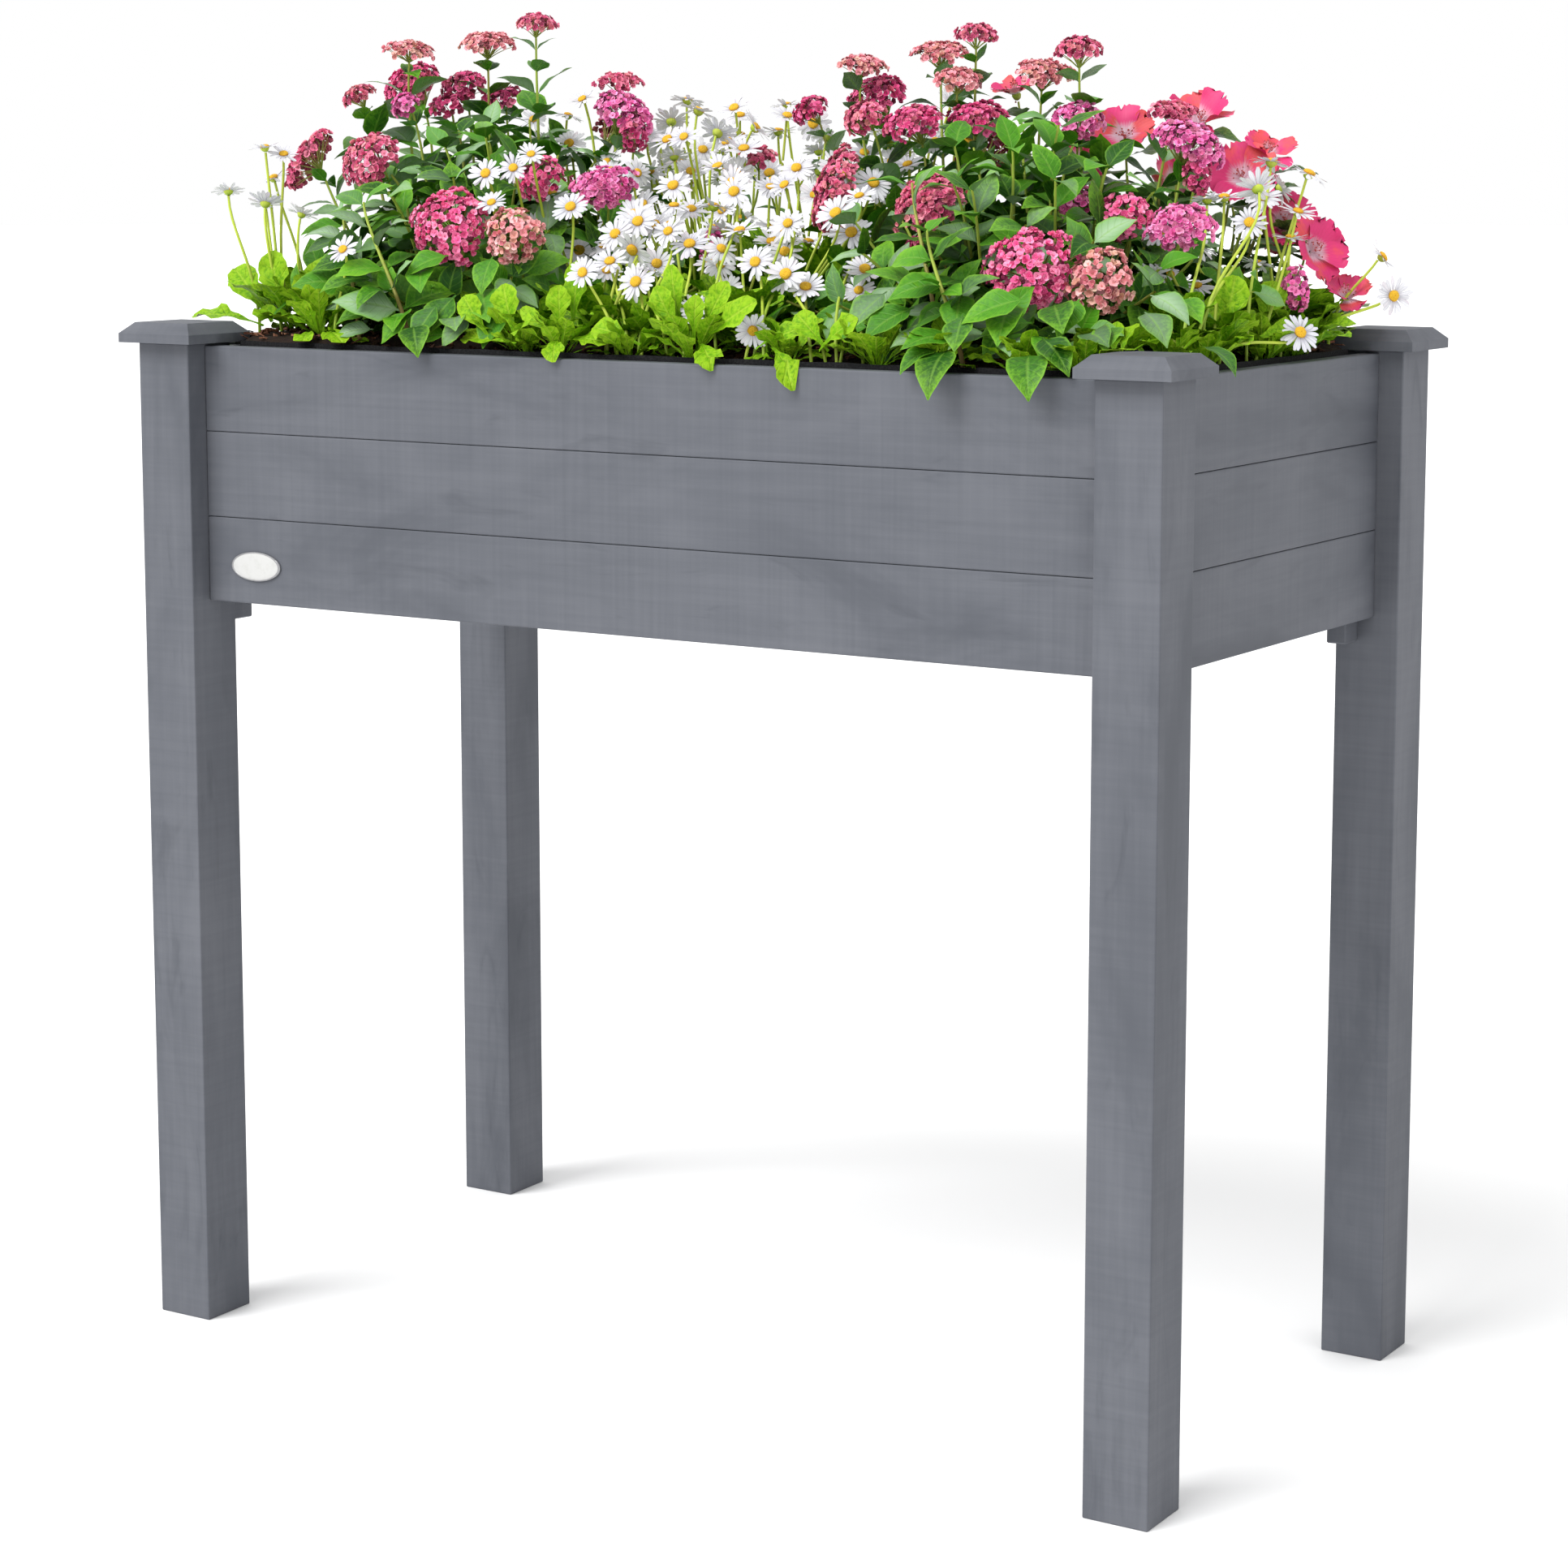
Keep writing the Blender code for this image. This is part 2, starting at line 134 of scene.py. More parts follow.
def arcs(start: Array, leave: Array, arrive: Array, end: Array, count: int) -> Array:
    """Points along cubic curves.

    Args:
        start: First points, (n, 3).
        leave: First handles.
        arrive: Last handles.
        end: Last points.
        count: Points on each curve.

    Returns:
        Points, (n, count, 3).
    """
    t = np.linspace(0, 1, count)[None, :, None]
    start, leave, arrive, end = (np.asarray(p, float)[:, None, :] for p in (start, leave, arrive, end))
    s = 1 - t
    return s**3 * start + 3 * s**2 * t * leave + 3 * s * t**2 * arrive + t**3 * end


def smooth_curve(stations: tuple[Pair, ...], at: Array) -> Array:
    """Reads a rounded curve through a few stations.

    Args:
        stations: Pairs of share along and height.
        at: Shares along, from 0 to 1.

    Returns:
        The heights there.
    """
    fine = np.linspace(-0.05, 1.05, 221)
    raw = np.interp(fine, *zip(*stations))
    kernel = np.hanning(23)
    padded = np.pad(raw, 11, mode="edge")
    return np.interp(at, fine, np.convolve(padded, kernel / kernel.sum(), mode="valid"))


def whorl(ways: Array, turns: Array, rise: Array) -> tuple[Array, Array, Array]:
    """Directions of the petals round each flower.

    Args:
        ways: The ways the flowers face, (n, 3).
        turns: Each petal's turn about its flower, (n, petals).
        rise: Angle by which each petal stands up.

    Returns:
        The way from the middle, the way along and the way the upper side looks, each (n, petals, 3).
    """
    one = side_of(ways)
    two = np.cross(ways, one)
    out = one[:, None] * np.cos(turns)[..., None] + two[:, None] * np.sin(turns)[..., None]
    cos, sin = np.cos(rise)[..., None], np.sin(rise)[..., None]
    return out, out * cos + ways[:, None] * sin, ways[:, None] * cos - out * sin


def each(kind: type, *rows: tuple) -> tuple:
    """Makes one thing of a kind from each row of its fields."""
    return tuple(kind(*row) for row in rows)


def place_at(path: Array, marks: Array, mark: float) -> Array:
    """The place on a curve at a mark, given the marks of its points."""
    return np.array([np.interp(mark, marks, path[:, k]) for k in range(3)])


def tones(first: Array, second: Array | float = 0.0, third: Array | float = 0.0) -> Array:
    """Joins the three tones of each leaf, petal or stem into rows."""
    return np.column_stack(np.broadcast_arrays(first, second, third))


# ---- Mesh drafting ----


def lattice(rows: int, columns: int, copies: int = 1, closed: bool = False) -> Array:
    """Quads over lattices of points that are numbered row by row.

    Args:
        rows: Rows in a lattice.
        columns: Points in a row.
        copies: Number of lattices, one after another.
        closed: Whether each row's last point joins its first.

    Returns:
        Point numbers, (faces, 4).
    """
    across = columns if closed else columns - 1
    row, column = np.meshgrid(np.arange(rows - 1), np.arange(across), indexing="ij")
    after = (column + 1) % columns
    low, high = row * columns, (row + 1) * columns
    quads = np.stack([low + column, low + after, high + after, high + column], axis=-1).reshape(-1, 4)
    return (quads[None] + (np.arange(copies) * rows * columns)[:, None, None]).reshape(-1, 4)


class Draft:
    """A mesh in the making: points, faces, and two vectors at each point that the finishes read.

    The vector named place holds shares along and across the leaf, petal or stem; the one named tone holds
    what differs from one leaf, petal or stem to the next, including painted light and shade.
    """

    def __init__(self) -> None:
        """Starts with nothing."""
        self.points: list[Array] = []
        self.place: list[Array] = []
        self.tone: list[Array] = []
        self.faces: list[Array] = []
        self.slots: list[Array] = []
        self.count = 0

    def add(
        self, points: Array, faces: Array, place: Array | None = None, tone: Array | None = None,
        slot: int = 0,
    ) -> None:
        """Adds points and the faces between them.

        Args:
            points: Points, with XYZ along the last axis.
            faces: Numbers of these points, (faces, corners).
            place: Vectors that match the points.
            tone: Vectors that match the points, or one for each group of them.
            slot: Number of the finish that the faces wear.
        """
        points = points.reshape(-1, 3)
        total = len(points)
        for store, values in ((self.place, place), (self.tone, tone)):
            values = np.zeros((1, 3)) if values is None else values.reshape(-1, 3)
            store.append(np.repeat(values, total // len(values), axis=0))
        self.points.append(points)
        self.faces.append(faces + self.count)
        self.slots.append(np.full(len(faces), slot))
        self.count += total

    def build(self, name: str, *finishes: Material, smooth: bool = True) -> Thing:
        """Makes the object.

        Args:
            name: The piece's name.
            finishes: Materials, in the order of their numbers.
            smooth: Whether faces are shaded as one curved surface.

        Returns:
            The new object.
        """
        mesh = bpy.data.meshes.new(name)
        corners = np.concatenate([f.ravel() for f in self.faces])
        sizes = np.concatenate([np.full(len(f), f.shape[1]) for f in self.faces])
        mesh.vertices.add(self.count)
        mesh.vertices.foreach_set("co", np.concatenate(self.points).astype(np.float32).ravel())
        mesh.loops.add(len(corners))
        mesh.loops.foreach_set("vertex_index", corners.astype(np.int32))
        mesh.polygons.add(len(sizes))
        mesh.polygons.foreach_set("loop_start", np.concatenate(([0], np.cumsum(sizes)[:-1])).astype(np.int32))
        mesh.polygons.foreach_set("material_index", np.concatenate(self.slots).astype(np.int32))
        mesh.polygons.foreach_set("use_smooth", np.full(len(sizes), smooth))
        for label, store in (("place", self.place), ("tone", self.tone)):
            attribute = mesh.attributes.new(label, "FLOAT_VECTOR", "POINT")
            attribute.data.foreach_set("vector", np.concatenate(store).astype(np.float32).ravel())
        for finish in finishes:
            mesh.materials.append(finish)
        mesh.update(calc_edges=True)
        mesh.validate()
        thing = bpy.data.objects.new(name, mesh)
        bpy.context.scene.collection.objects.link(thing)
        return thing


def put_on(thing: Thing, slot: str, *nodes: str) -> Thing:
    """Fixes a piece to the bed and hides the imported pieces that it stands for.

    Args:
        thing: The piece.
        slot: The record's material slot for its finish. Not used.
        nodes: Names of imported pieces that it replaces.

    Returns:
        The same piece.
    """
    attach(thing, BODY)
    if nodes:
        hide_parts(*nodes)
    LOG.info("%s: %d faces", thing.name, len(thing.data.polygons))
    return thing


@dataclass(frozen=True)
class Blade:
    """The cut of one kind of leaf or petal.

    Attributes:
        stations: Share of the length, and half width there as a share of the widest.
        rows: Points along it.
        columns: Points across it.
        teeth: Depth of the notches along its edges, as a share of the half width.
        ripple: Height of the waves along its edges, as a share of the half width.
        waves: Number of those waves.
        bend_power: Where it bends: 1 evenly, more towards the tip.
        notch: Depth of the points across its far end, as a share of the length.
    """

    stations: tuple[Pair, ...]
    rows: int = 12
    columns: int = 5
    teeth: float = 0.0
    ripple: float = 0.0
    waves: float = 2.0
    bend_power: float = 1.3
    notch: float = 0.0

    def sheets(
        self, base: Array, along: Array, face: Array, length: Array, width: Array, droop: Array, fold: Array,
        twist: Array, curl: float = 0.0,
    ) -> tuple[Array, Array]:
        """Shapes many leaves or petals at once.

        Args:
            base: Where each starts, (n, 3).
            along: The direction in which it starts.
            face: The direction in which its upper side looks, near enough square to along.
            length: Lengths, (n,).
            width: Greatest widths.
            droop: Angles through which they bend away from face.
            fold: Angles by which each half is raised from flat.
            twist: Angles through which they turn about their midrib.
            curl: How far the edges rise, as a share of the half width.

        Returns:
            Points, (n, rows, columns, 3), and place vectors: share along, share across from -1 to 1, and half
            width as a share of the widest.
        """
        count = len(base)
        t = np.linspace(0, 1, self.rows)
        v = np.linspace(-1, 1, self.columns)
        face = square_to(along, face)
        side = np.cross(along, face)
        bend = droop[:, None] * t**self.bend_power
        turn = twist[:, None] * t
        forward = along[:, None] * np.cos(bend)[..., None] - face[:, None] * np.sin(bend)[..., None]
        over = along[:, None] * np.sin(bend)[..., None] + face[:, None] * np.cos(bend)[..., None]
        right = side[:, None] * np.cos(turn)[..., None] + over * np.sin(turn)[..., None]
        over = over * np.cos(turn)[..., None] - side[:, None] * np.sin(turn)[..., None]
        step = (forward[:, 1:] + forward[:, :-1]) / 2 * (length / (self.rows - 1))[:, None, None]
        middle = base[:, None] + np.concatenate([np.zeros((count, 1, 3)), np.cumsum(step, axis=1)], axis=1)
        share = smooth_curve(self.stations, t)
        half = (width / 2)[:, None] * share
        edge = np.where(np.abs(v) > 0.99, 1 - self.teeth * (np.arange(self.rows) % 2)[:, None], 1.0)
        out = half[..., None] * v * edge * np.cos(fold)[:, None, None]
        phase = np.arange(count)[:, None, None] * 1.7 + np.sign(v) * 0.9
        wave = self.ripple * np.abs(v) ** 2 * np.sin(math.tau * self.waves * t[None, :, None] + phase)
        lift = half[..., None] * (np.abs(v) * np.sin(fold)[:, None, None] + curl * v**2 + wave)
        points = middle[:, :, None] + right[:, :, None] * out[..., None] + over[:, :, None] * lift[..., None]
        if self.notch:
            column = np.arange(self.columns)
            jag = (column % 2) * (0.5 + 0.5 * np.sin(phase[..., 0] * 3.1 + column))
            back = self.notch * length[:, None, None] * (t**5)[:, None] * (jag + 0.5 * v**2)[:, None]
            points = points - forward[:, :, None] * back[..., None]
        place = np.empty((count, self.rows, self.columns, 3))
        place[..., 0] = t[:, None]
        place[..., 1] = v
        place[..., 2] = share[:, None]
        return points, place


def add_sheets(
    draft: Draft, blade: Blade, tone: Array, slot: int = 0, settle: bool = False, **shape: Array | float
) -> None:
    """Adds leaves or petals to a mesh.

    Args:
        draft: The mesh.
        blade: Their cut.
        tone: One vector for each, (n, 3).
        slot: Number of their finish.
        settle: Whether they lie on what they meet.
        shape: What Blade.sheets takes.
    """
    points, place = blade.sheets(**shape)
    if settle:
        points = laid_on_bed(points)
    draft.add(points, lattice(blade.rows, blade.columns, len(points)), place, tone, slot)


def gathered(rows: list[tuple]) -> dict[str, Array]:
    """Turns rows that describe one leaf each into what add_sheets takes."""
    names = ("base", "along", "face", "length", "width", "droop", "fold", "twist", "tone")
    return {name: np.array(values) for name, values in zip(names, zip(*rows))}


def add_tubes(draft: Draft, paths: Array, radii: Array, sides: int, tone: Array, slot: int = 0) -> None:
    """Adds stems to a mesh.

    Args:
        draft: The mesh.
        paths: Points along each, (n, count, 3).
        radii: Radius at each point, (n, count) or (count,).
        sides: Sides of a stem.
        tone: One vector for each stem, (n, 3).
        slot: Number of their finish.
    """
    number, count, _ = paths.shape
    ahead = unit(np.gradient(paths, axis=1))
    overall = unit(paths[:, -1] - paths[:, 0])
    hint = np.where(np.abs(overall[:, :1]) < 0.7, ACROSS, BACK)
    one = square_to(ahead, np.repeat(hint[:, None], count, axis=1))
    two = np.cross(ahead, one)
    angle = math.tau * np.arange(sides) / sides
    ring = one[:, :, None] * np.cos(angle)[:, None] + two[:, :, None] * np.sin(angle)[:, None]
    radii = np.broadcast_to(radii, (number, count))
    points = paths[:, :, None] + ring * radii[..., None, None]
    place = np.zeros((number, count, sides, 3))
    place[..., 0] = np.linspace(0, 1, count)[:, None]
    place[..., 1] = angle / math.tau
    draft.add(points, lattice(count, sides, number, closed=True), place, tone, slot)


def add_turned(
    draft: Draft, centre: Array, axis: Array, profile: tuple[Pair, ...], sides: int, size: Array, tone: Array,
    slot: int = 0, rough: float = 0.0, seed: int = 0,
) -> None:
    """Adds small turned shapes, such as a daisy's disc or its green cup.

    Args:
        draft: The mesh.
        centre: Where each sits, (n, 3).
        axis: The way each points.
        profile: Radius and height of each ring, as shares of the size.
        sides: Sides of a ring.
        size: Sizes, (n,).
        tone: One vector for each.
        slot: Number of their finish.
        rough: How far points stray from the turned surface, as a share of the size.
        seed: Start of the random numbers.
    """
    number = len(centre)
    one = side_of(axis)
    two = np.cross(axis, one)
    angle = math.tau * np.arange(sides) / sides
    ring = one[:, None] * np.cos(angle)[:, None] + two[:, None] * np.sin(angle)[:, None]
    radius, height = np.array(profile).T
    radius = np.maximum(radius, 0.01)
    stray = 1 + rough * np.random.default_rng(seed).normal(size=(number, len(radius), sides, 1))
    points = ring[:, None] * radius[:, None, None] + (axis[:, None] * height[:, None])[:, :, None]
    points = centre[:, None, None] + points * stray * size[:, None, None, None]
    place = np.zeros((number, len(radius), sides, 3))
    place[..., 0] = np.linspace(0, 1, len(radius))[:, None]
    place[..., 1] = angle / math.tau
    draft.add(points, lattice(len(radius), sides, number, closed=True), place, tone, slot)


def ground_under(x: Array, y: Array) -> Array:
    """Height of what lies under a point: soil, rim, cap, or nothing outside the box.

    Args:
        x: Places along the box.
        y: Places across it.

    Returns:
        Heights, very low outside the box.
    """
    ax, ay = np.abs(x), np.abs(y)
    inside = (ax < BACK_X - 0.003) & (ay < BACK_Y - 0.003)
    outside = (ax > FACE_X + 0.002) | (ay > FACE_Y + 0.002)
    over_cap = (ax > CAP_X - 0.002) & (ay > CAP_Y - 0.002)
    height = np.where(inside, Soil.height(x, y) + 0.0015, PLANK_TOP + LIP_RISE)
    return np.where(over_cap, CAP_TOP + 0.001, np.where(outside, -1.0, height))


def laid_on_bed(points: Array) -> Array:
    """Lifts points of leaves that would sink into the soil, the rim or a cap.

    Args:
        points: Points, with XYZ along the last axis.

    Returns:
        The same points, none of them too low.
    """
    least = ground_under(points[..., 0], points[..., 1])
    points = points.copy()
    points[..., 2] = np.maximum(points[..., 2], least)
    return points


# ---- Finishes ----


class Wire:
    """A node's output that takes part in sums, with Math nodes or, for colours and vectors, Vector Math."""

    def __init__(self, bench: "Bench", socket: bpy.types.NodeSocket) -> None:
        """Keeps the socket and the bench that it is on."""
        self.bench = bench
        self.socket = socket

    def _sum(self, operation: str, first: Value, second: Value = 0.0) -> "Wire":
        """Adds the node for one operation.

        Args:
            operation: The operation, as Math and Vector Math name it.
            first: Its first operand.
            second: Its second operand, if it has one.

        Returns:
            The result.
        """
        pair = (first, second)
        wide = any(isinstance(x, tuple) or (isinstance(x, Wire) and x.socket.type != "VALUE") for x in pair)
        if wide:
            pair = tuple((x,) * 3 if isinstance(x, (int, float)) else x for x in pair)
        kind = "ShaderNodeVectorMath" if wide else "ShaderNodeMath"
        return self.bench.node(kind, {"operation": operation}, {0: pair[0], 1: pair[1]})[0]

    def __add__(self, other: Value) -> "Wire":
        """self + other."""
        return self._sum("ADD", self, other)

    def __sub__(self, other: Value) -> "Wire":
        """self - other."""
        return self._sum("SUBTRACT", self, other)

    def __rsub__(self, other: Value) -> "Wire":
        """other - self."""
        return self._sum("SUBTRACT", other, self)

    def __mul__(self, other: Value) -> "Wire":
        """self * other."""
        return self._sum("MULTIPLY", self, other)

    __radd__ = __add__
    __rmul__ = __mul__

    def __abs__(self) -> "Wire":
        """The distance from nought."""
        return self._sum("ABSOLUTE", self)

    def fraction(self) -> "Wire":
        """What is left after whole steps are taken away."""
        return self._sum("FRACT", self)

    def sine(self) -> "Wire":
        """The sine."""
        return self._sum("SINE", self)

    def ramp(self, low: float, high: float) -> "Wire":
        """Goes smoothly from 0 at low to 1 at high, and stays between them."""
        settings = {"interpolation_type": "SMOOTHSTEP"}
        return self.bench.node("ShaderNodeMapRange", settings, {0: self, 1: low, 2: high, 3: 0.0, 4: 1.0})[0]


class Bench:
    """The nodes of one finish."""

    def __init__(self, name: str) -> None:
        """Starts a finish of this name with its Principled shader."""
        self.material = bpy.data.materials.new(name)
        self.material.use_nodes = True
        self.tree = self.material.node_tree
        self.shader = self.tree.nodes["Principled BSDF"]

    def feed(self, socket: bpy.types.NodeSocket, value: Value) -> None:
        """Links a wire to a socket, or sets a value on it.

        Args:
            socket: The socket.
            value: The wire or value.
        """
        if isinstance(value, Wire):
            self.tree.links.new(value.socket, socket)
        else:
            socket.default_value = (*value, 1.0) if socket.type == "RGBA" else value

    def node(
        self, kind: str, settings: dict[str, object] | None = None,
        inputs: dict[int | str, Value] | None = None,
    ) -> list[Wire]:
        """Adds any node.

        Args:
            kind: The node's type.
            settings: Its settings, which are set first; stops are a ramp's (position, colour) pairs.
            inputs: Values or wires for its inputs.

        Returns:
            Its outputs.
        """
        made = self.tree.nodes.new(kind)
        for key, value in (settings or {}).items():
            if key == "stops":
                elements = made.color_ramp.elements
                while len(elements) < len(value):
                    elements.new(0.5)
                for element, (position, colour) in zip(elements, value):
                    element.position = position
                    element.color = (*colour, 1.0)
            else:
                setattr(made, key, value)
        for key, value in (inputs or {}).items():
            self.feed(made.inputs[key], value)
        return [Wire(self, socket) for socket in made.outputs]

    def attribute(self, name: str) -> tuple[Wire, Wire, Wire]:
        """The three numbers of a mesh's own vector."""
        vector = self.node("ShaderNodeAttribute", {"attribute_name": name})[1]
        return tuple(self.node("ShaderNodeSeparateXYZ", None, {0: vector}))

    def here(self, stretch: Point = (1.0, 1.0, 1.0)) -> Wire:
        """Places on the object in metres, stretched."""
        return self.node("ShaderNodeTexCoord")[3] * stretch

    def noise(
        self, vector: Wire, scale: float, detail: float = 2.0, roughness: float = 0.5, distortion: float = 0.0
    ) -> Wire:
        """Cloudy numbers about one half.

        Args:
            vector: Where they are read.
            scale: Clouds to a metre.
            detail: Octaves of finer clouds.
            roughness: Share of those finer clouds.
            distortion: How far the clouds are dragged about.

        Returns:
            The numbers.
        """
        inputs = {"Vector": vector, "Scale": scale, "Detail": detail, "Roughness": roughness}
        return self.node("ShaderNodeTexNoise", None, {**inputs, "Distortion": distortion})[0]

    def cells(self, scale: float) -> Wire:
        """How far each place is from the middle of its cell, with so many cells to a metre."""
        return self.node("ShaderNodeTexVoronoi", None, {"Vector": self.here(), "Scale": scale})[0]

    def blend(self, share: Wire, first: Value, second: Value) -> Wire:
        """Goes from a first colour, where share is 0, to a second one, where it is 1."""
        return self.node("ShaderNodeMix", {"data_type": "RGBA"}, {0: share, 6: first, 7: second})[2]

    def palette(self, share: Wire, *stops: tuple[float, Colour]) -> Wire:
        """Reads a colour off a row of stops."""
        return self.node("ShaderNodeValToRGB", {"stops": stops}, {0: share})[0]

    def bump(self, height: Wire, distance: float, strength: float = 1.0) -> Wire:
        """Turns heights from 0 to 1 into shading.

        Args:
            height: The heights.
            distance: What 1 stands for, in metres.
            strength: Share of the effect.

        Returns:
            The normal.
        """
        inputs = {"Height": height, "Distance": distance, "Strength": strength}
        return self.node("ShaderNodeBump", None, inputs)[0]

    def done(self, **sockets: Value) -> Material:
        """Sets the shader and gives the material.

        Args:
            sockets: Values or wires, with the shader's socket names in lower case and joined by underscores.

        Returns:
            The material.
        """
        names = {socket.name.lower().replace(" ", "_"): socket for socket in self.shader.inputs}
        for key, value in sockets.items():
            self.feed(names[key], value)
        return self.material


@dataclass(frozen=True)
class Finish:
    """What every finish has.

    Attributes:
        name: The material's name.
    """

    name: str


class Grain(Enum):
    """Which way a timber's grain runs, as the stretch of its brush marks along X, Y and Z."""

    ALONG_X = (5.0, 210.0, 210.0)
    ALONG_Y = (210.0, 5.0, 210.0)
    ALONG_Z = (210.0, 210.0, 5.0)


@dataclass(frozen=True)
class SlatePaint(Finish):
    """Thin slate-grey paint, brushed along the grain and lightly across it.

    Attributes:
        grain: Which way the timber runs.
        body: The paint's colour.
        thin: Where it is thinner.
        heavy: Where it has gathered.
        roughness: How matt it is.
    """

    grain: Grain
    body: Colour = (0.093, 0.099, 0.115)
    thin: Colour = (0.129, 0.135, 0.153)
    heavy: Colour = (0.058, 0.063, 0.075)
    roughness: float = 0.56

    def make(self) -> Material:
        """Makes the finish.

        Returns:
            The material.
        """
        bench = Bench(self.name)
        along = self.grain.value
        across = tuple(150.0 if step < 100 else 4.0 for step in along)
        strokes = bench.noise(bench.here(along), 1.0, 3.0, 0.62)
        hatch = bench.noise(bench.here(across), 1.6, 2.0, 0.55)
        long, longer = (tuple(share if step < 100 else 1.0 for step in along) for share in (0.35, 0.25))
        clouds = bench.noise(bench.here(long), 13.0, 4.0, 0.58, 0.6)
        smears = bench.noise(bench.here(longer), 38.0, 3.0, 0.6, 1.2)
        weave = strokes * 0.55 + hatch * 0.45
        light = (clouds * 0.62 + weave * 0.38).ramp(0.36, 0.72)
        colour = bench.blend(light, self.body, self.thin)
        dark = smears.ramp(0.56, 0.78) * 0.4 + (1 - clouds).ramp(0.52, 0.74) * 0.4
        colour = bench.blend(dark, colour, self.heavy)
        rough = self.roughness - 0.1 * dark + 0.1 * weave
        normal = bench.bump(weave, 0.0006, 0.35)
        return bench.done(base_color=colour, roughness=rough, specular_ior_level=0.18, normal=normal)


@dataclass(frozen=True)
class LeafFinish(Finish):
    """A leaf's upper and lower skin: midrib, side veins, a paler margin, and a painted grey-green sheen of
    sky reflection on some leaves.

    Attributes:
        dark: The deepest green.
        body: The usual green.
        fresh: The green towards tip and margin, and painted light on leaves whose tone marks them lit.
        vein: Midrib and veins.
        sky_sheen: The grey-green of leaves that catch the sky.
        veins: Side veins along a leaf.
        mottled: How blotchy it is, against how much one leaf differs from the next.
        margin: How strongly the margin pales.
        sky_sheen_share: How strong the bloom is on the greyest leaves.
        crinkle: How deep its puckers are, in metres.
        roughness: How matt the skin is.
        sheen: How strongly it mirrors.
    """

    dark: Colour
    body: Colour
    fresh: Colour
    vein: Colour
    sky_sheen: Colour
    veins: float = 7.0
    mottled: float = 0.4
    margin: float = 0.85
    sky_sheen_share: float = 0.75
    crinkle: float = 0.0006
    roughness: float = 0.42
    sheen: float = 0.2

    def make(self) -> Material:
        """Makes the finish.

        Returns:
            The material.
        """
        bench = Bench(self.name)
        along, across, _ = bench.attribute("place")
        tint, grey, lit = bench.attribute("tone")
        out = abs(across)
        mottle = bench.noise(bench.here(), 360.0, 3.0, 0.6).ramp(0.28, 0.72)
        share = tint * (1.15 - self.mottled) + mottle * self.mottled
        colour = bench.blend(share.ramp(0.15, 0.95), self.dark, self.body)
        # Painted light: a leaf's lit tone pales it towards the fresh green, on top of the real paling towards
        # tip and margin.
        tip = ((along * 0.55 + out * 0.25 + lit * 0.45) + (mottle - 0.5) * self.mottled).ramp(0.45, 1.15)
        colour = bench.blend(tip * 0.9, colour, self.fresh)
        # Painted reflection: leaves with a high second tone take a grey-green sheen, as if catching the sky,
        # weaker at the margin.
        colour = bench.blend(grey.ramp(0.55, 1.0) * (1 - out * 0.6) * self.sky_sheen_share, colour, self.sky_sheen)
        slant = ((along - out * 0.22) * self.veins).fraction()
        side_vein = (1 - abs(slant - 0.5) * 2).ramp(0.72, 1.0)
        midrib = (1 - out).ramp(0.86, 0.99)
        colour = bench.blend(side_vein * 0.16, colour, self.vein)
        colour = bench.blend(midrib * 0.42, colour, self.vein)
        colour = bench.blend(out.ramp(0.78, 1.0) * self.margin, colour, self.fresh)
        height = 1 - side_vein * 0.5 - midrib * 0.6 + mottle * 0.25
        rough = self.roughness + 0.15 * mottle - 0.05 * side_vein
        normal = bench.bump(height, self.crinkle, 0.6)
        return bench.done(base_color=colour, roughness=rough, specular_ior_level=self.sheen, normal=normal)


@dataclass(frozen=True)
class StemFinish(Finish):
    """Stems: woody at the foot, green above, with a faint blush.

    Attributes:
        foot: Colour at the foot.
        top: Colour at the top.
        blush: Colour of the blush.
    """

    foot: Colour
    top: Colour
    blush: Colour

    def make(self) -> Material:
        """Makes the finish.

        Returns:
            The material.
        """
        bench = Bench(self.name)
        along, _, _ = bench.attribute("place")
        tint, _, _ = bench.attribute("tone")
        fleck = bench.noise(bench.here((1.0, 1.0, 0.2)), 700.0, 2.0)
        colour = bench.blend((along + (fleck - 0.5) * 0.4).ramp(0.1, 0.7), self.foot, self.top)
        colour = bench.blend((tint * 0.6 + fleck * 0.5).ramp(0.55, 0.95) * 0.6, colour, self.blush)
        normal = bench.bump(fleck, 0.0003, 0.5)
        return bench.done(base_color=colour, roughness=0.5 + 0.2 * fleck, normal=normal)


@dataclass(frozen=True)
class FloretFinish(Finish):
    """The sepals of a flower head: painted shade in the throat and on the florets underneath, paler rims, and
    florets that differ.

    Attributes:
        deep: The darkest florets, and painted shade in all throats and, darker still, on the florets
            underneath.
        body: The usual colour.
        pale: The palest florets and the rims.
        green: The tinge of florets that are ageing.
        green_share: How strong that tinge is.
    """

    deep: Colour
    body: Colour
    pale: Colour
    green: Colour = (0.36, 0.42, 0.1)
    green_share: float = 0.15

    def make(self) -> Material:
        """Makes the finish.

        Returns:
            The material.
        """
        bench = Bench(self.name)
        along, across, _ = bench.attribute("place")
        tint, age, inner = bench.attribute("tone")
        mottle = bench.noise(bench.here(), 900.0, 2.0, 0.6)
        stops = ((0.12, self.deep), (0.5, self.body), (0.95, self.pale))
        colour = bench.palette(tint * 0.8 + mottle * 0.3, *stops)
        rim = (along * 0.7 + abs(across) * 0.35).ramp(0.62, 1.05)
        colour = bench.blend(rim * 0.65, colour, self.pale)
        # Painted shade in the cupped middle of each floret.
        colour = bench.blend((1 - along).ramp(0.62, 0.95) * 0.8, colour, self.deep)
        colour = bench.blend(age.ramp(0.6, 1.0) * self.green_share, colour, self.green)
        # Painted shade: florets of the lower layer take a darkened copy of the deepest colour.
        colour = bench.blend(inner * 0.65, colour, tuple(c * 0.45 for c in self.deep))
        normal = bench.bump(mottle + along, 0.0002, 0.4)
        return bench.done(base_color=colour, roughness=0.52 + 0.15 * mottle, normal=normal)


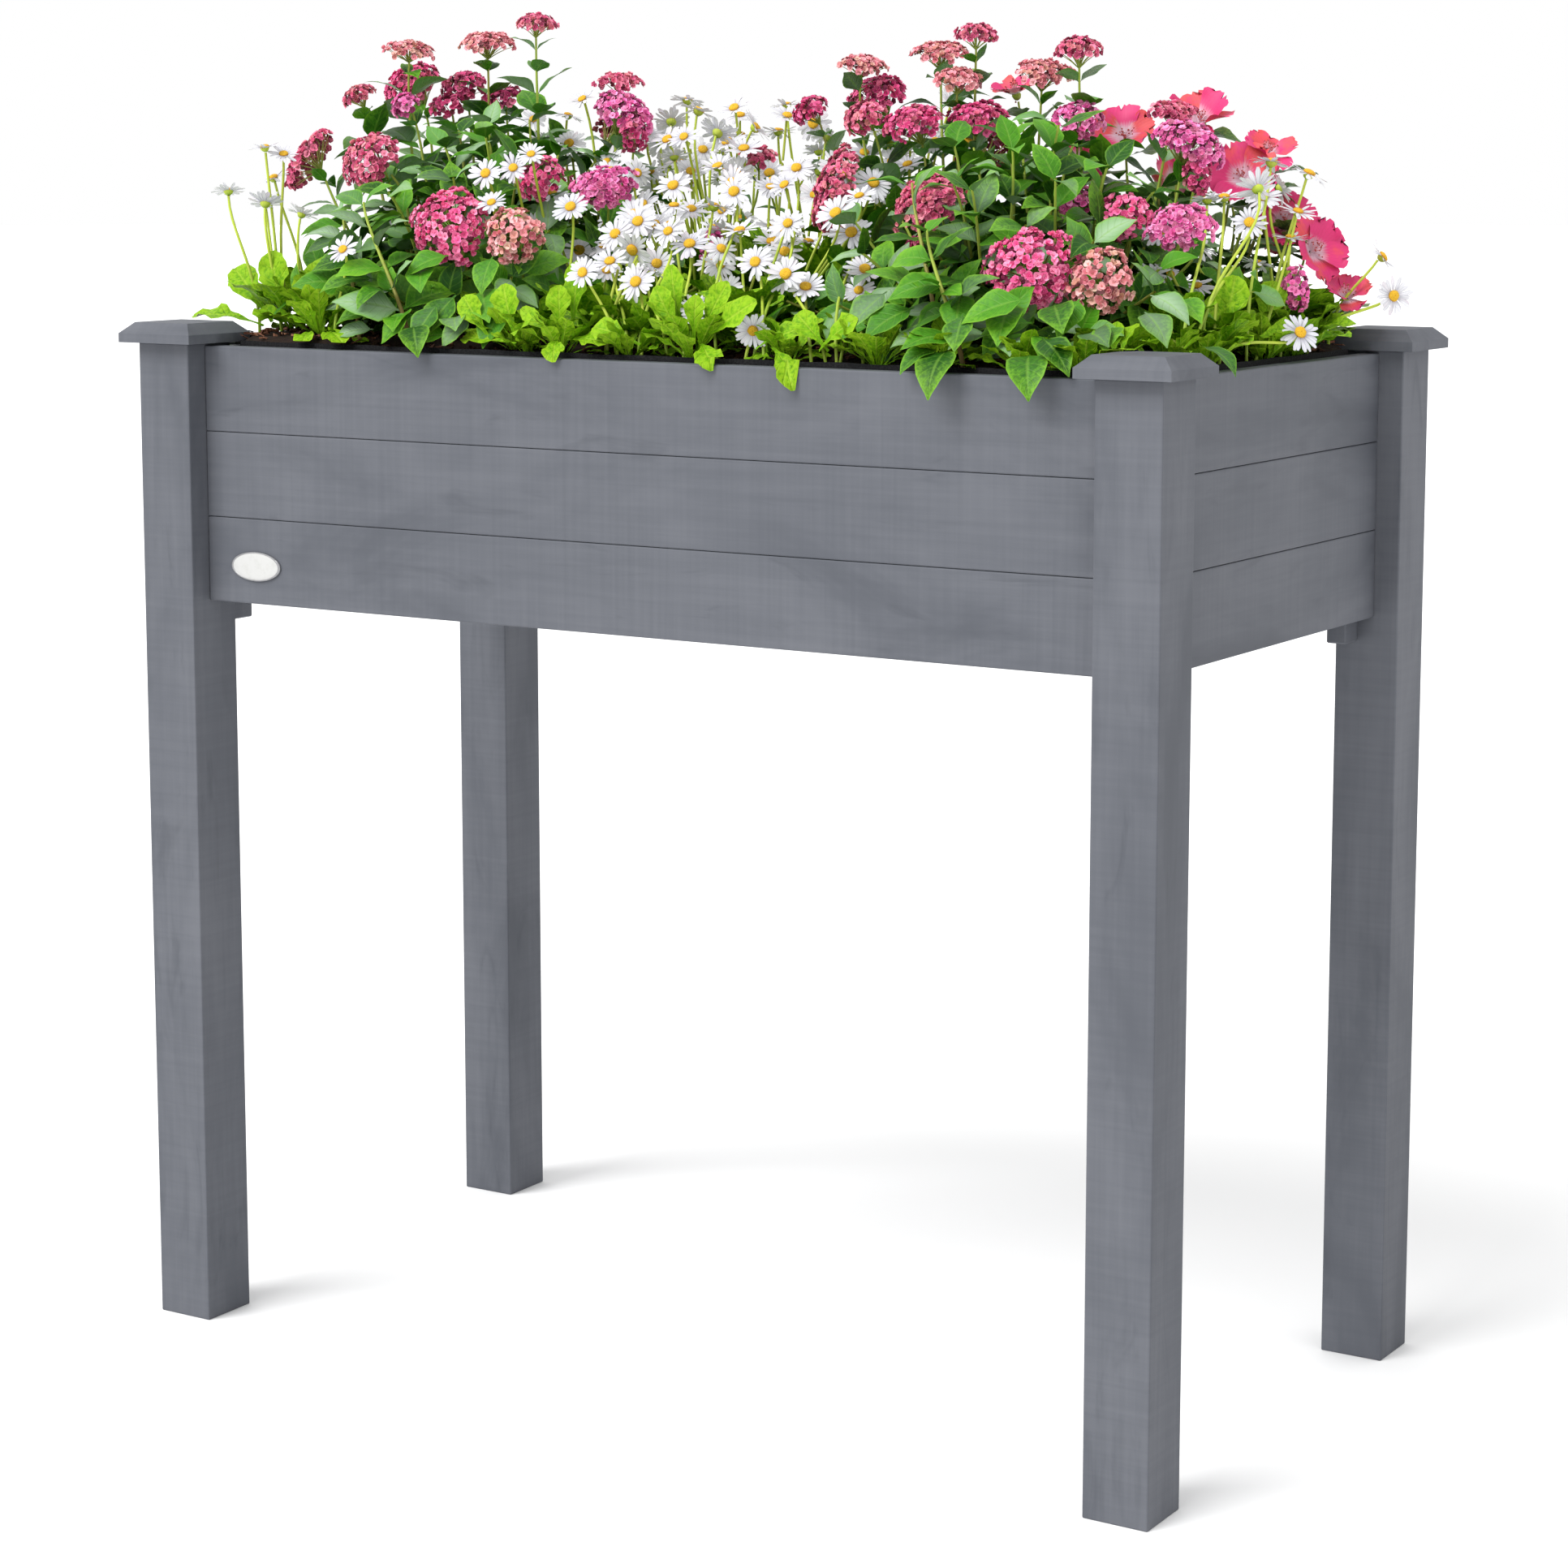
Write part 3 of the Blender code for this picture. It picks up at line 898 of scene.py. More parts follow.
@dataclass(frozen=True)
class RayFinish(Finish):
    """A daisy's white rays: fine grooves, with painted shade in the grooves, at the base and edges, and over
    some whole flowers.

    Attributes:
        white: The rays.
        shade: Their grooves and base.
        blush: The tinge of some tips.
        glow: Stands in for the light that passes through them.
    """

    white: Colour = (0.64, 0.64, 0.67)
    # shade: Painted shade in their grooves, at their base and edges, and on some whole flowers.
    shade: Colour = (0.25, 0.25, 0.32)
    blush: Colour = (0.6, 0.46, 0.52)
    glow: float = 0.13

    def make(self) -> Material:
        """Makes the finish.

        Returns:
            The material.
        """
        bench = Bench(self.name)
        along, across, _ = bench.attribute("place")
        tint, pink, _ = bench.attribute("tone")
        groove = (across * 8.0).sine().ramp(0.2, 1.0)
        # Painted shade: darker in the grooves, towards the base, on flowers with a low tint, and towards the
        # edges.
        shade = groove * 0.25 + (1 - along).ramp(0.45, 1.0) * 0.5 + (1 - tint).ramp(0.5, 1.0) * 0.25
        shade = shade + abs(across).ramp(0.5, 1.0) * 0.4
        colour = bench.blend(shade, self.white, self.shade)
        colour = bench.blend(pink.ramp(0.75, 1.0) * along * 0.5, colour, self.blush)
        return bench.done(
            base_color=colour, roughness=0.55 + 0.1 * groove, emission_color=(1.0, 1.0, 1.0),
            emission_strength=self.glow, normal=bench.bump(1 - groove, 0.0002, 0.5),
        )


@dataclass(frozen=True)
class DiscFinish(Finish):
    """A daisy's disc: packed yellow florets, orange towards the rim.

    Attributes:
        yellow: The middle.
        orange: The rim and the gaps.
    """

    yellow: Colour = (0.78, 0.46, 0.012)
    orange: Colour = (0.58, 0.2, 0.008)

    def make(self) -> Material:
        """Makes the finish.

        Returns:
            The material.
        """
        bench = Bench(self.name)
        cells = bench.cells(1500.0)
        along, _, _ = bench.attribute("place")
        rim = (1 - along).ramp(0.45, 1.0)
        colour = bench.blend((cells * 0.7 + rim * 0.6).ramp(0.2, 1.1), self.yellow, self.orange)
        normal = bench.bump(1 - cells, 0.0005)
        return bench.done(base_color=colour, roughness=0.6 + 0.2 * cells, normal=normal)


@dataclass(frozen=True)
class MallowFinish(Finish):
    """A mallow's petals: pale throat with fine radiating veins, hot pink above, coral towards the edge.

    Attributes:
        throat: The pale throat.
        pink: The petal.
        coral: Its edge and some whole petals.
        vein: Its veins.
    """

    throat: Colour = (0.66, 0.48, 0.56)
    pink: Colour = (0.64, 0.022, 0.155)
    coral: Colour = (0.7, 0.065, 0.075)
    vein: Colour = (0.4, 0.01, 0.075)

    def make(self) -> Material:
        """Makes the finish.

        Returns:
            The material.
        """
        bench = Bench(self.name)
        along, across, _ = bench.attribute("place")
        tint, _, _ = bench.attribute("tone")
        cloud = bench.noise(bench.here(), 60.0, 3.0, 0.6)
        colour = bench.blend((tint * 0.5 + cloud * 1.1).ramp(0.8, 1.1), self.pink, self.coral)
        veins = (across * 30.0 + cloud * 3.0).sine().ramp(0.55, 1.0)
        colour = bench.blend(veins * (1 - along * 0.7) * 0.2, colour, self.vein)
        throat = (1 - along + (cloud - 0.5) * 0.3 + veins * 0.05).ramp(0.56, 0.86)
        colour = bench.blend(throat, colour, self.throat)
        normal = bench.bump(veins * 0.3 + cloud, 0.0003, 0.5)
        return bench.done(base_color=colour, roughness=0.48 + 0.15 * cloud, normal=normal)


@dataclass(frozen=True)
class SoilFinish(Finish):
    """Moist soil and bark: red-brown chips over near-black crumbs.

    Attributes:
        crumb: The darkest crumbs.
        earth: The soil.
        bark: The chips.
        fresh: Broken edges of chips.
    """

    crumb: Colour = (0.008, 0.005, 0.004)
    earth: Colour = (0.03, 0.015, 0.01)
    bark: Colour = (0.11, 0.038, 0.02)
    fresh: Colour = (0.29, 0.135, 0.08)

    def make(self) -> Material:
        """Makes the finish.

        Returns:
            The material.
        """
        bench = Bench(self.name)
        tint, chip, _ = bench.attribute("tone")
        coarse = bench.noise(bench.here(), 120.0, 4.0, 0.65)
        fine = bench.noise(bench.here((1.0, 0.35, 1.0)), 900.0, 3.0, 0.7)
        colour = bench.blend((coarse * 0.6 + fine * 0.5).ramp(0.35, 0.75), self.crumb, self.earth)
        colour = bench.blend(chip * (tint * 0.8 + fine * 0.4).ramp(0.1, 0.9), colour, self.bark)
        colour = bench.blend(chip * (tint * 0.5 + fine * 0.7).ramp(0.62, 0.85), colour, self.fresh)
        rough = 0.8 + 0.15 * fine
        normal = bench.bump(coarse + fine, 0.0012, 0.8)
        return bench.done(base_color=colour, roughness=rough, specular_ior_level=0.2, normal=normal)


@dataclass(frozen=True)
class LinerFinish(Finish):
    """Black non-woven liner: pressed fibres with a dull sheen.

    Attributes:
        black: The cloth.
        worn: Its high spots.
    """

    black: Colour = (0.003, 0.003, 0.004)
    worn: Colour = (0.012, 0.012, 0.013)

    def make(self) -> Material:
        """Makes the finish.

        Returns:
            The material.
        """
        bench = Bench(self.name)
        dots = bench.cells(650.0)
        fibre = bench.noise(bench.here(), 1500.0, 3.0, 0.7)
        colour = bench.blend((dots * 0.6 + fibre * 0.5).ramp(0.4, 0.9), self.black, self.worn)
        rough = 0.7 + 0.2 * fibre
        normal = bench.bump(dots, 0.0003)
        return bench.done(base_color=colour, roughness=rough, specular_ior_level=0.15, normal=normal)


@dataclass(frozen=True)
class EnamelFinish(Finish):
    """Enamel of the blank oval plate: an off-white field, faintly uneven.

    Attributes:
        field_colour: The enamel.
        soiled: Its faint grime.
        roughness: How matt it is.
        metallic: Whether it is bare metal.
    """

    field_colour: Colour = (0.5, 0.5, 0.49)
    soiled: Colour = (0.42, 0.42, 0.4)
    roughness: float = 0.3
    metallic: float = 0.0

    def make(self) -> Material:
        """Makes the finish.

        Returns:
            The material.
        """
        bench = Bench(self.name)
        grime = bench.noise(bench.here(), 220.0, 4.0, 0.65)
        fine = bench.noise(bench.here((1.0, 1.0, 0.1)), 2500.0, 2.0)
        colour = bench.blend(grime.ramp(0.45, 0.8) * 0.6, self.field_colour, self.soiled)
        rough = self.roughness + 0.2 * grime
        normal = bench.bump(fine, 0.0001, 0.3)
        return bench.done(base_color=colour, roughness=rough, metallic=self.metallic, normal=normal)


# ---- Timber box, plate, liner and soil ----


@dataclass
class TimberBox:
    """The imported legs, caps, planks, battens and floor, dressed in slate paint.

    Attributes:
        grains: How the grain runs in timbers whose names match; the first match counts.
    """

    grains: tuple[tuple[str, Grain], ...] = (
        (r"leg_cap", Grain.ALONG_X),
        (r"leg|\w+_batten", Grain.ALONG_Z),
        (r"(front|back)_plank", Grain.ALONG_X),
        (r"(left|right)_plank|floor_bearer", Grain.ALONG_Y),
        (r"floor", Grain.ALONG_X),
    )

    def dress(self) -> None:
        """Puts the paint on every packed timber."""
        paints = {grain: SlatePaint(f"slate_paint_{grain.name.lower()}", grain).make() for grain in Grain}
        for name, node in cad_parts.items():
            grain = next((grain for pattern, grain in self.grains if re.match(pattern, name)), None)
            if grain is None:
                continue
            for slot in node.material_slots:
                slot.link = "OBJECT"
                slot.material = paints[grain]
            LOG.info("%s: painted", name)


@dataclass
class OvalPlate:
    """A blank oval plate: satin rim, shallow groove, slightly crowned enamel.

    Attributes:
        rings: Share of the oval, share of the thickness, and number of the finish outside that ring.
        sides: Points round the oval.
    """

    rings: tuple[Point, ...] = (
        (1.0, 0.0, 0), (1.0, 0.55, 0), (0.985, 0.8, 0), (0.955, 0.9, 0), (0.925, 0.88, 0), (0.91, 0.74, 0),
        (0.895, 0.8, 1), (0.7, 0.9, 1), (0.45, 0.97, 1), (0.2, 1.0, 1), (0.01, 1.0, 1),
    )
    sides: int = 72

    def build(self) -> None:
        """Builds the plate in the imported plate's place."""
        low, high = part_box("oval_plate")
        middle = (np.array(low) + np.array(high)) / 2
        half = (np.array(high) - np.array(low)) / 2
        angle = math.tau * np.arange(self.sides) / self.sides
        shares = np.array(self.rings)
        points = np.empty((len(self.rings), self.sides, 3))
        points[..., 0] = middle[0] + half[0] * shares[:, :1] * np.cos(angle)
        points[..., 1] = high.y - 2 * half[1] * shares[:, 1:2]
        points[..., 2] = middle[2] + half[2] * shares[:, :1] * np.sin(angle)
        draft = Draft()
        draft.add(points, lattice(len(self.rings), self.sides, closed=True))
        draft.add(points[0], np.arange(self.sides)[None, ::-1].copy())
        draft.slots[0] = np.repeat([int(ring[2]) for ring in self.rings[1:]], self.sides)
        rim = EnamelFinish("plate_rim", (0.3, 0.3, 0.31), (0.2, 0.2, 0.2), 0.32, 0.7).make()
        plate = draft.build("oval_plate_blank", rim, EnamelFinish("plate_enamel").make())
        plate.data.set_sharp_from_angle(angle=math.radians(40))
        put_on(plate, "plate", "oval_plate")


def bed_plan(inset: float) -> Array:
    """The bed's plan inside the planks, stepped in at the legs and battens.

    Args:
        inset: Distance kept from the timber.

    Returns:
        Its corners, anticlockwise, (n, 2).
    """
    far, cap = np.array((BACK_X, BACK_Y)) - inset, np.array((CAP_X, CAP_Y)) - inset
    near, face = np.array((BATTEN_X, BATTEN_Y)) - inset, np.array((BATTEN_FACE_X, BATTEN_FACE_Y)) - inset
    corner = np.array([
        (far[0], near[1]), (face[0], near[1]), (face[0], cap[1]), cap, (cap[0], face[1]), (near[0], face[1]),
        (near[0], far[1]),
    ])
    return np.concatenate([corner, corner[::-1] * (-1, 1), corner * (-1, -1), corner[::-1] * (1, -1)])


def walked(plan: Array, step: float) -> Array:
    """Points round a plan, no further apart than a step.

    Args:
        plan: The plan's corners.
        step: The longest distance between two points.

    Returns:
        Points, (n, 2), with every corner among them.
    """
    found = []
    for start, end in zip(plan, np.roll(plan, -1, axis=0)):
        count = max(1, math.ceil(np.linalg.norm(end - start) / step))
        found += [start + (end - start) * k / count for k in range(count)]
    return np.array(found)


@dataclass
class Liner:
    """A cut sheet of black non-woven cloth folded up into a tray, with a slightly wavy lip.

    Attributes:
        step: Distance between points round the lip.
        levels: Heights up the wall, as shares.
        gap: Distance kept from the timber.
        slack: How far the lip strays inwards.
        sag: How far it strays downwards.
        thickness: Thickness of the cloth.
    """

    step: float = 0.007
    levels: tuple[float, ...] = (0.0, 0.25, 0.5, 0.75, 0.9, 0.96, 1.0)
    gap: float = 0.0016
    slack: float = 0.0011
    sag: float = 0.0009
    thickness: float = 0.0009

    def build(self) -> None:
        """Builds the tray."""
        rng = np.random.default_rng(11)
        plan = walked(bed_plan(self.gap), self.step)
        count = len(plan)
        inward = unit(np.column_stack([-plan[:, 0] / LINER_HIGH.x, -plan[:, 1] / LINER_HIGH.y]))
        along = np.arange(count) / count * math.tau
        wave = 0.5 + 0.5 * np.sin(along * 37 + 2 * np.sin(along * 5)) * rng.uniform(0.4, 1.0, count)
        foot = LINER_LOW.z + 0.001
        points = np.empty((len(self.levels), count, 3))
        for level, share in enumerate(self.levels):
            points[level, :, :2] = plan + inward * (wave * self.slack * share**3)[:, None]
            points[level, :, 2] = foot + (LINER_HIGH.z - foot) * share - wave * self.sag * share**6
        draft = Draft()
        draft.add(points, lattice(len(self.levels), count, closed=True))
        draft.add(points[0], np.arange(count)[None, ::-1].copy())
        liner = draft.build("liner_cloth", LinerFinish("liner_cloth").make())
        thick = liner.modifiers.new("cloth", "SOLIDIFY")
        thick.thickness = self.thickness
        thick.offset = -1.0
        put_on(liner, "liner", "liner")


@dataclass
class Soil:
    """Mounded soil with bark chips on it.

    Attributes:
        cell: Distance between points of the surface.
        gap: Distance kept from the timber.
        chips: Number of chips.
        chip_length: Shortest and longest chip.
        chip_gap: How far the chips' middles keep from the timber.
    """

    cell: float = 0.0055
    gap: float = 0.0034
    chips: int = 2700
    chip_length: Pair = (0.003, 0.009)
    chip_gap: float = 0.006

    @staticmethod
    def sunk(x: Array, y: Array) -> Array:
        """How far it has settled along the front and the right side.

        Args:
            x: Places along the box.
            y: Places across it.

        Returns:
            Shares, from 0 to 1.
        """
        front = np.clip((-y - 0.13) / 0.03, 0, 1) * np.clip((x + 0.27) / 0.05, 0, 1)
        right = np.clip((x - 0.345) / 0.03, 0, 1) * np.clip((0.13 - y) / 0.04, 0, 1)
        return np.maximum(front, right)

    @staticmethod
    def height(x: Array, y: Array) -> Array:
        """Height of the surface: level in the middle, lower along walls and front, uneven all over.

        Args:
            x: Places along the box.
            y: Places across it.

        Returns:
            Heights.
        """
        edge = np.minimum(BACK_X - np.abs(x), BACK_Y - np.abs(y))
        mound = SOIL_TOP - 0.0075 * (1 - np.clip(edge / 0.018, 0, 1)) ** 1.5
        mound = mound - 0.0075 * Soil.sunk(x, y)
        rough = (np.sin(x * 61 + 3 * np.sin(y * 37)) + np.sin(y * 83 + 2 * np.sin(x * 45))) * 0.0008
        crumbs = np.sin(x * 530 + 2 * np.sin(y * 410)) * np.sin(y * 610 + 2 * np.sin(x * 370)) * 0.0007
        return mound + rough + crumbs

    def build(self) -> None:
        """Builds the soil's body and its chips as one piece."""
        shape = bmesh.new()
        shape.faces.new([shape.verts.new((x, y, 0.0)) for x, y in walked(bed_plan(self.gap), self.cell)])
        for normal, reach in ((ACROSS, BACK_X - self.gap), (BACK, BACK_Y - self.gap)):
            for place in np.arange(-reach + self.cell, reach, self.cell):
                whole = shape.verts[:] + shape.edges[:] + shape.faces[:]
                bmesh.ops.bisect_plane(shape, geom=whole, plane_co=normal * place, plane_no=normal, dist=1e-5)
        shape.verts.index_update()
        top = np.array([v.co for v in shape.verts])
        top[:, 2] = self.height(top[:, 0], top[:, 1])
        faces = [[v.index for v in face.verts] for face in shape.faces]
        shape.free()
        draft = Draft()
        for corners in sorted({len(f) for f in faces}):
            group = np.array([f for f in faces if len(f) == corners])
            if not draft.points:
                draft.add(top, group)
            else:
                draft.faces.append(group)
                draft.slots.append(np.zeros(len(group), int))
        self.add_chips(draft)
        put_on(draft.build("soil_and_bark", SoilFinish("soil_and_bark").make(), smooth=False), "soil", "soil")

    def add_chips(self, draft: Draft) -> None:
        """Scatters chips of bark over the soil's mesh.

        Args:
            draft: The mesh.
        """
        rng = np.random.default_rng(5)
        spots = rng.uniform((-BACK_X, -BACK_Y), (BACK_X, BACK_Y), (self.chips * 2, 2))
        ax, ay = np.abs(spots).T + self.chip_gap
        spots = spots[(ax < BACK_X) & (ay < BACK_Y) & ~((ax > CAP_X) & (ay > CAP_Y))][: self.chips]
        count = len(spots)
        length = rng.uniform(*self.chip_length, count)
        width = length * rng.uniform(0.18, 0.5, count)
        size = np.column_stack([length, width, rng.uniform(0.0006, 0.002, count)])
        corners = np.array([(x, y, z) for x in (-0.5, 0.5) for y in (-0.5, 0.5) for z in (-0.5, 0.5)])
        shape = corners * (1 + 0.35 * rng.uniform(-1, 1, (count, 8, 3))) * size[:, None]
        yaw, pitch = rng.uniform(0, math.tau, count), rng.normal(0, 0.3, count)
        along = np.column_stack([np.cos(yaw) * np.cos(pitch), np.sin(yaw) * np.cos(pitch), np.sin(pitch)])
        over = square_to(along, UP + rng.normal(0, 0.3, (count, 3)))
        turn = np.stack([along, np.cross(over, along), over], axis=1)
        points = shape @ turn
        points[..., :2] += spots[:, None]
        points[..., 2] += self.height(*spots.T)[:, None] + 0.0012
        quads = np.array([(0, 1, 3, 2), (4, 6, 7, 5), (0, 4, 5, 1), (2, 3, 7, 6), (0, 2, 6, 4), (1, 5, 7, 3)])
        faces = (quads[None] + 8 * np.arange(count)[:, None, None]).reshape(-1, 4)
        # Painted shade: chips where the soil has sunk along the front and right edge lose their bark colour
        # and look as dark as the soil.
        bark = 1 - 0.9 * Soil.sunk(*spots.T)
        draft.add(points, faces, None, tones(rng.uniform(0, 1, count), bark))


# ---- Flowering shrubs ----


class Tint(Enum):
    """Colours of the shrubs' flower heads."""

    PINK = FloretFinish(
        "florets_pink", (0.42, 0.014, 0.11), (0.88, 0.092, 0.31), (0.94, 0.33, 0.52), green_share=0.04
    )
    SALMON = FloretFinish(
        "florets_salmon", (0.48, 0.09, 0.13), (0.84, 0.3, 0.33), (0.93, 0.54, 0.54), green_share=0.35
    )
    MAGENTA = FloretFinish(
        "florets_magenta", (0.17, 0.003, 0.04), (0.6, 0.022, 0.165), (0.84, 0.16, 0.36)
    )
    MAUVE = FloretFinish(
        "florets_mauve", (0.32, 0.012, 0.13), (0.78, 0.1, 0.38), (0.9, 0.33, 0.59)
    )
    ROSE = FloretFinish(
        "florets_rose", (0.26, 0.01, 0.06), (0.68, 0.08, 0.215), (0.86, 0.27, 0.39), green_share=0.2
    )
    DUSTY = FloretFinish(
        "florets_dusty", (0.36, 0.055, 0.08), (0.72, 0.19, 0.25), (0.88, 0.46, 0.49), green_share=0.3
    )


SEPAL = Blade(stations=((0.0, 0.35), (0.3, 0.9), (0.6, 1.0), (0.86, 0.8), (1.0, 0.45)), rows=3, columns=3)
SHRUB_LEAF = Blade(
    stations=((0.0, 0.05), (0.09, 0.06), (0.17, 0.46), (0.28, 0.9), (0.41, 1.0), (0.56, 0.93), (0.72, 0.67),
              (0.85, 0.35), (0.94, 0.13), (1.0, 0.02)),
    rows=13, columns=5, teeth=0.035, ripple=0.07,
)


@dataclass(frozen=True)
class Head:
    """A flower head: a lumpy dome of small cupped florets on fine stalks.

    Attributes:
        name: The piece's name.
        centre: Middle of the dome.
        facing: The way its crown looks.
        half: Half its width, half its depth, and its rise.
        tint: Its colour.
        roll: Turn of its width about the way it faces.
        stands_for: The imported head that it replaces, if any.
        spacing: Distance between florets.
    """

    name: str
    centre: Point
    facing: Point
    half: Point
    tint: Tint
    roll: float = 0.0
    stands_for: str = ""
    spacing: float = 0.0043

    def axes(self) -> tuple[Array, Array, Array]:
        """Its own directions.

        Returns:
            Unit vectors along its width, along its depth, and out of its crown.
        """
        out = unit(np.array(self.facing, float))
        wide = side_of(out[None])[0]
        deep = np.cross(out, wide)
        wide = wide * math.cos(self.roll) + deep * math.sin(self.roll)
        return wide, np.cross(out, wide), out

    def neck(self) -> Array:
        """Where its stem ends."""
        return np.array(self.centre) - self.axes()[2] * self.half[2] * 1.15

    def spots(self, rng: Random, share: float, spacing: float) -> tuple[Array, Array]:
        """Places florets over the dome.

        Args:
            rng: Random numbers.
            share: Size of the dome they lie on, as a share of the whole.
            spacing: Distance between them.

        Returns:
            Their places and the ways they face.
        """
        a, b, c = self.half
        area = math.tau * (((a * b) ** 1.6 + (a * c) ** 1.6 + (b * c) ** 1.6) / 3) ** 0.625
        count = max(12, int(area * share**2 / (0.86 * spacing**2)))
        order = (np.arange(count) + 0.5) / count
        flat = c < 0.55 * a
        rise = np.sqrt(1 - order * 0.999) if flat else 1 - order * 1.12
        rise = rise + rng.normal(0, 0.02, count)
        reach = np.sqrt(np.clip(1 - rise**2, 0, 1)) if not flat else np.sqrt(order)
        turn = np.arange(count) * GOLDEN_TURN + rng.normal(0, 0.15, count)
        phase = rng.uniform(0, math.tau, 4)
        outline = 1 + 0.05 * np.sin(2 * turn + phase[0]) + 0.06 * np.sin(3 * turn + phase[1])
        outline = outline + 0.07 * np.sin(5 * turn + phase[2]) + 0.06 * np.sin(8 * turn + phase[0])
        lumps = 1 + 0.13 * np.sin(4 * turn + 7 * reach + phase[3]) * reach + rng.normal(0, 0.04, count)
        wide, deep, out = self.axes()
        x = reach * np.cos(turn) * outline * share
        y = reach * np.sin(turn) * outline * share
        z = rise * lumps * share
        across, back, up = (x * a)[:, None], (y * b)[:, None], (z * c)[:, None]
        places = np.array(self.centre) + wide * across + deep * back + out * up
        across, back, up = (x / a)[:, None], (y / b)[:, None], (np.maximum(z, 0.05) / c)[:, None]
        normals = unit(wide * across + deep * back + out * up)
        return places, unit(normals + rng.normal(0, 0.12, (count, 3)))

    def add_florets(self, draft: Draft, places: Array, normals: Array, rng: Random, inner: float) -> None:
        """Adds florets of four sepals.

        Args:
            draft: The mesh.
            places: Where they are.
            normals: The ways they face.
            rng: Random numbers.
            inner: 1 for florets in the shade under others, otherwise 0.
        """
        count, sepals = len(places), 4
        total = count * sepals
        turn = rng.uniform(0, math.tau, (count, 1)) + math.tau * np.arange(sepals) / sepals
        turn = turn + rng.normal(0, 0.09, (count, sepals))
        cup = rng.normal(0.34, 0.26, (count, 1)) + rng.normal(0, 0.18, (count, sepals))
        _, along, face = whorl(normals, turn, cup)
        size = np.repeat(self.spacing * rng.uniform(0.66, 0.84, count), sepals)
        tone = tones(rng.uniform(0, 1, count), rng.uniform(0, 1, count), inner)
        add_sheets(
            draft, SEPAL, np.repeat(tone, sepals, axis=0),
            base=np.repeat(places, sepals, axis=0), along=along.reshape(-1, 3), face=face.reshape(-1, 3),
            length=size, width=size * rng.uniform(1.15, 1.45, total), droop=rng.normal(-0.35, 0.45, total),
            fold=np.zeros(total), twist=rng.normal(0, 0.18, total), curl=0.25,
        )

    def build(self, rng: Random, finishes: dict[Tint, Material], stalk: Material) -> None:
        """Builds the head.

        Args:
            rng: Random numbers.
            finishes: The florets' materials.
            stalk: The stalks' material.
        """
        draft = Draft()
        places, normals = self.spots(rng, 1.0, self.spacing)
        self.add_florets(draft, places, normals, rng, 0.0)
        # A second, smaller layer of florets under the first, painted dark as shade.
        self.add_florets(draft, *self.spots(rng, 0.82, self.spacing * 1.3), rng, 1.0)
        self.add_beads(draft, places, normals, rng)
        self.add_stalks(draft, places[::4] - normals[::4] * 0.0004, normals[::4], rng)
        head = draft.build(self.name, finishes[self.tint], stalk)
        put_on(head, "shrub_flowers", *([self.stands_for] if self.stands_for else []))

    @staticmethod
    def add_beads(draft: Draft, places: Array, normals: Array, rng: Random) -> None:
        """Adds the small round middle of each floret.

        Args:
            draft: The mesh.
            places: Where they are.
            normals: The ways they face.
            rng: Random numbers.
        """
        count, radius = len(places), 0.00055
        rings = ((1.0, 0.0), (0.8, 0.9), (0.0, 1.3))
        tone = tones(rng.uniform(0, 1, count), 1.0)
        add_turned(draft, places + normals * 0.0002, normals, rings, 4, np.full(count, radius), tone)

    def add_stalks(self, draft: Draft, tips: Array, normals: Array, rng: Random) -> None:
        """Adds the fine stalks that branch from the neck to the florets.

        Args:
            draft: The mesh.
            tips: Where they end.
            normals: The ways they point there.
            rng: Random numbers.
        """
        neck = np.repeat(self.neck()[None], len(tips), axis=0)
        fork = neck + self.axes()[2] * self.half[2] * 0.2 + (tips - neck) * 0.35
        paths = arcs(neck, fork, tips - normals * 0.003, tips, 4)
        radii = np.array((0.0005, 0.0004, 0.0003, 0.0003))
        add_tubes(draft, paths, radii, 3, tones(rng.uniform(0, 0.6, len(tips))), 1)


@dataclass(frozen=True)
class LoneLeaf:
    """A leaf with a place of its own, such as one that hangs over the rim.

    Attributes:
        base: Where it starts.
        along: The way it starts.
        face: The way its upper side looks.
        length: Its length.
        width: Its width.
        droop: How far it bends over.
    """

    base: Point
    along: Point
    face: Point
    length: float
    width: float
    droop: float


def add_lone_leaves(
    draft: Draft, blade: Blade, leaves: tuple[LoneLeaf, ...], least: Point, most: Point
) -> None:
    """Adds leaves that have places of their own.

    Args:
        draft: The mesh.
        blade: Their cut.
        leaves: The leaves.
        least: The lowest numbers of their tones.
        most: The highest numbers of their tones.
    """
    tone = np.random.default_rng(3).uniform(least, most, (len(leaves), 3))
    fold, twist = 0.2, 0.0
    rows = [
        (leaf.base, unit(np.array(leaf.along)), leaf.face, leaf.length, leaf.width, leaf.droop,
         fold, twist, own) for leaf, own in zip(leaves, tone)
    ]
    add_sheets(draft, blade, settle=True, **gathered(rows))


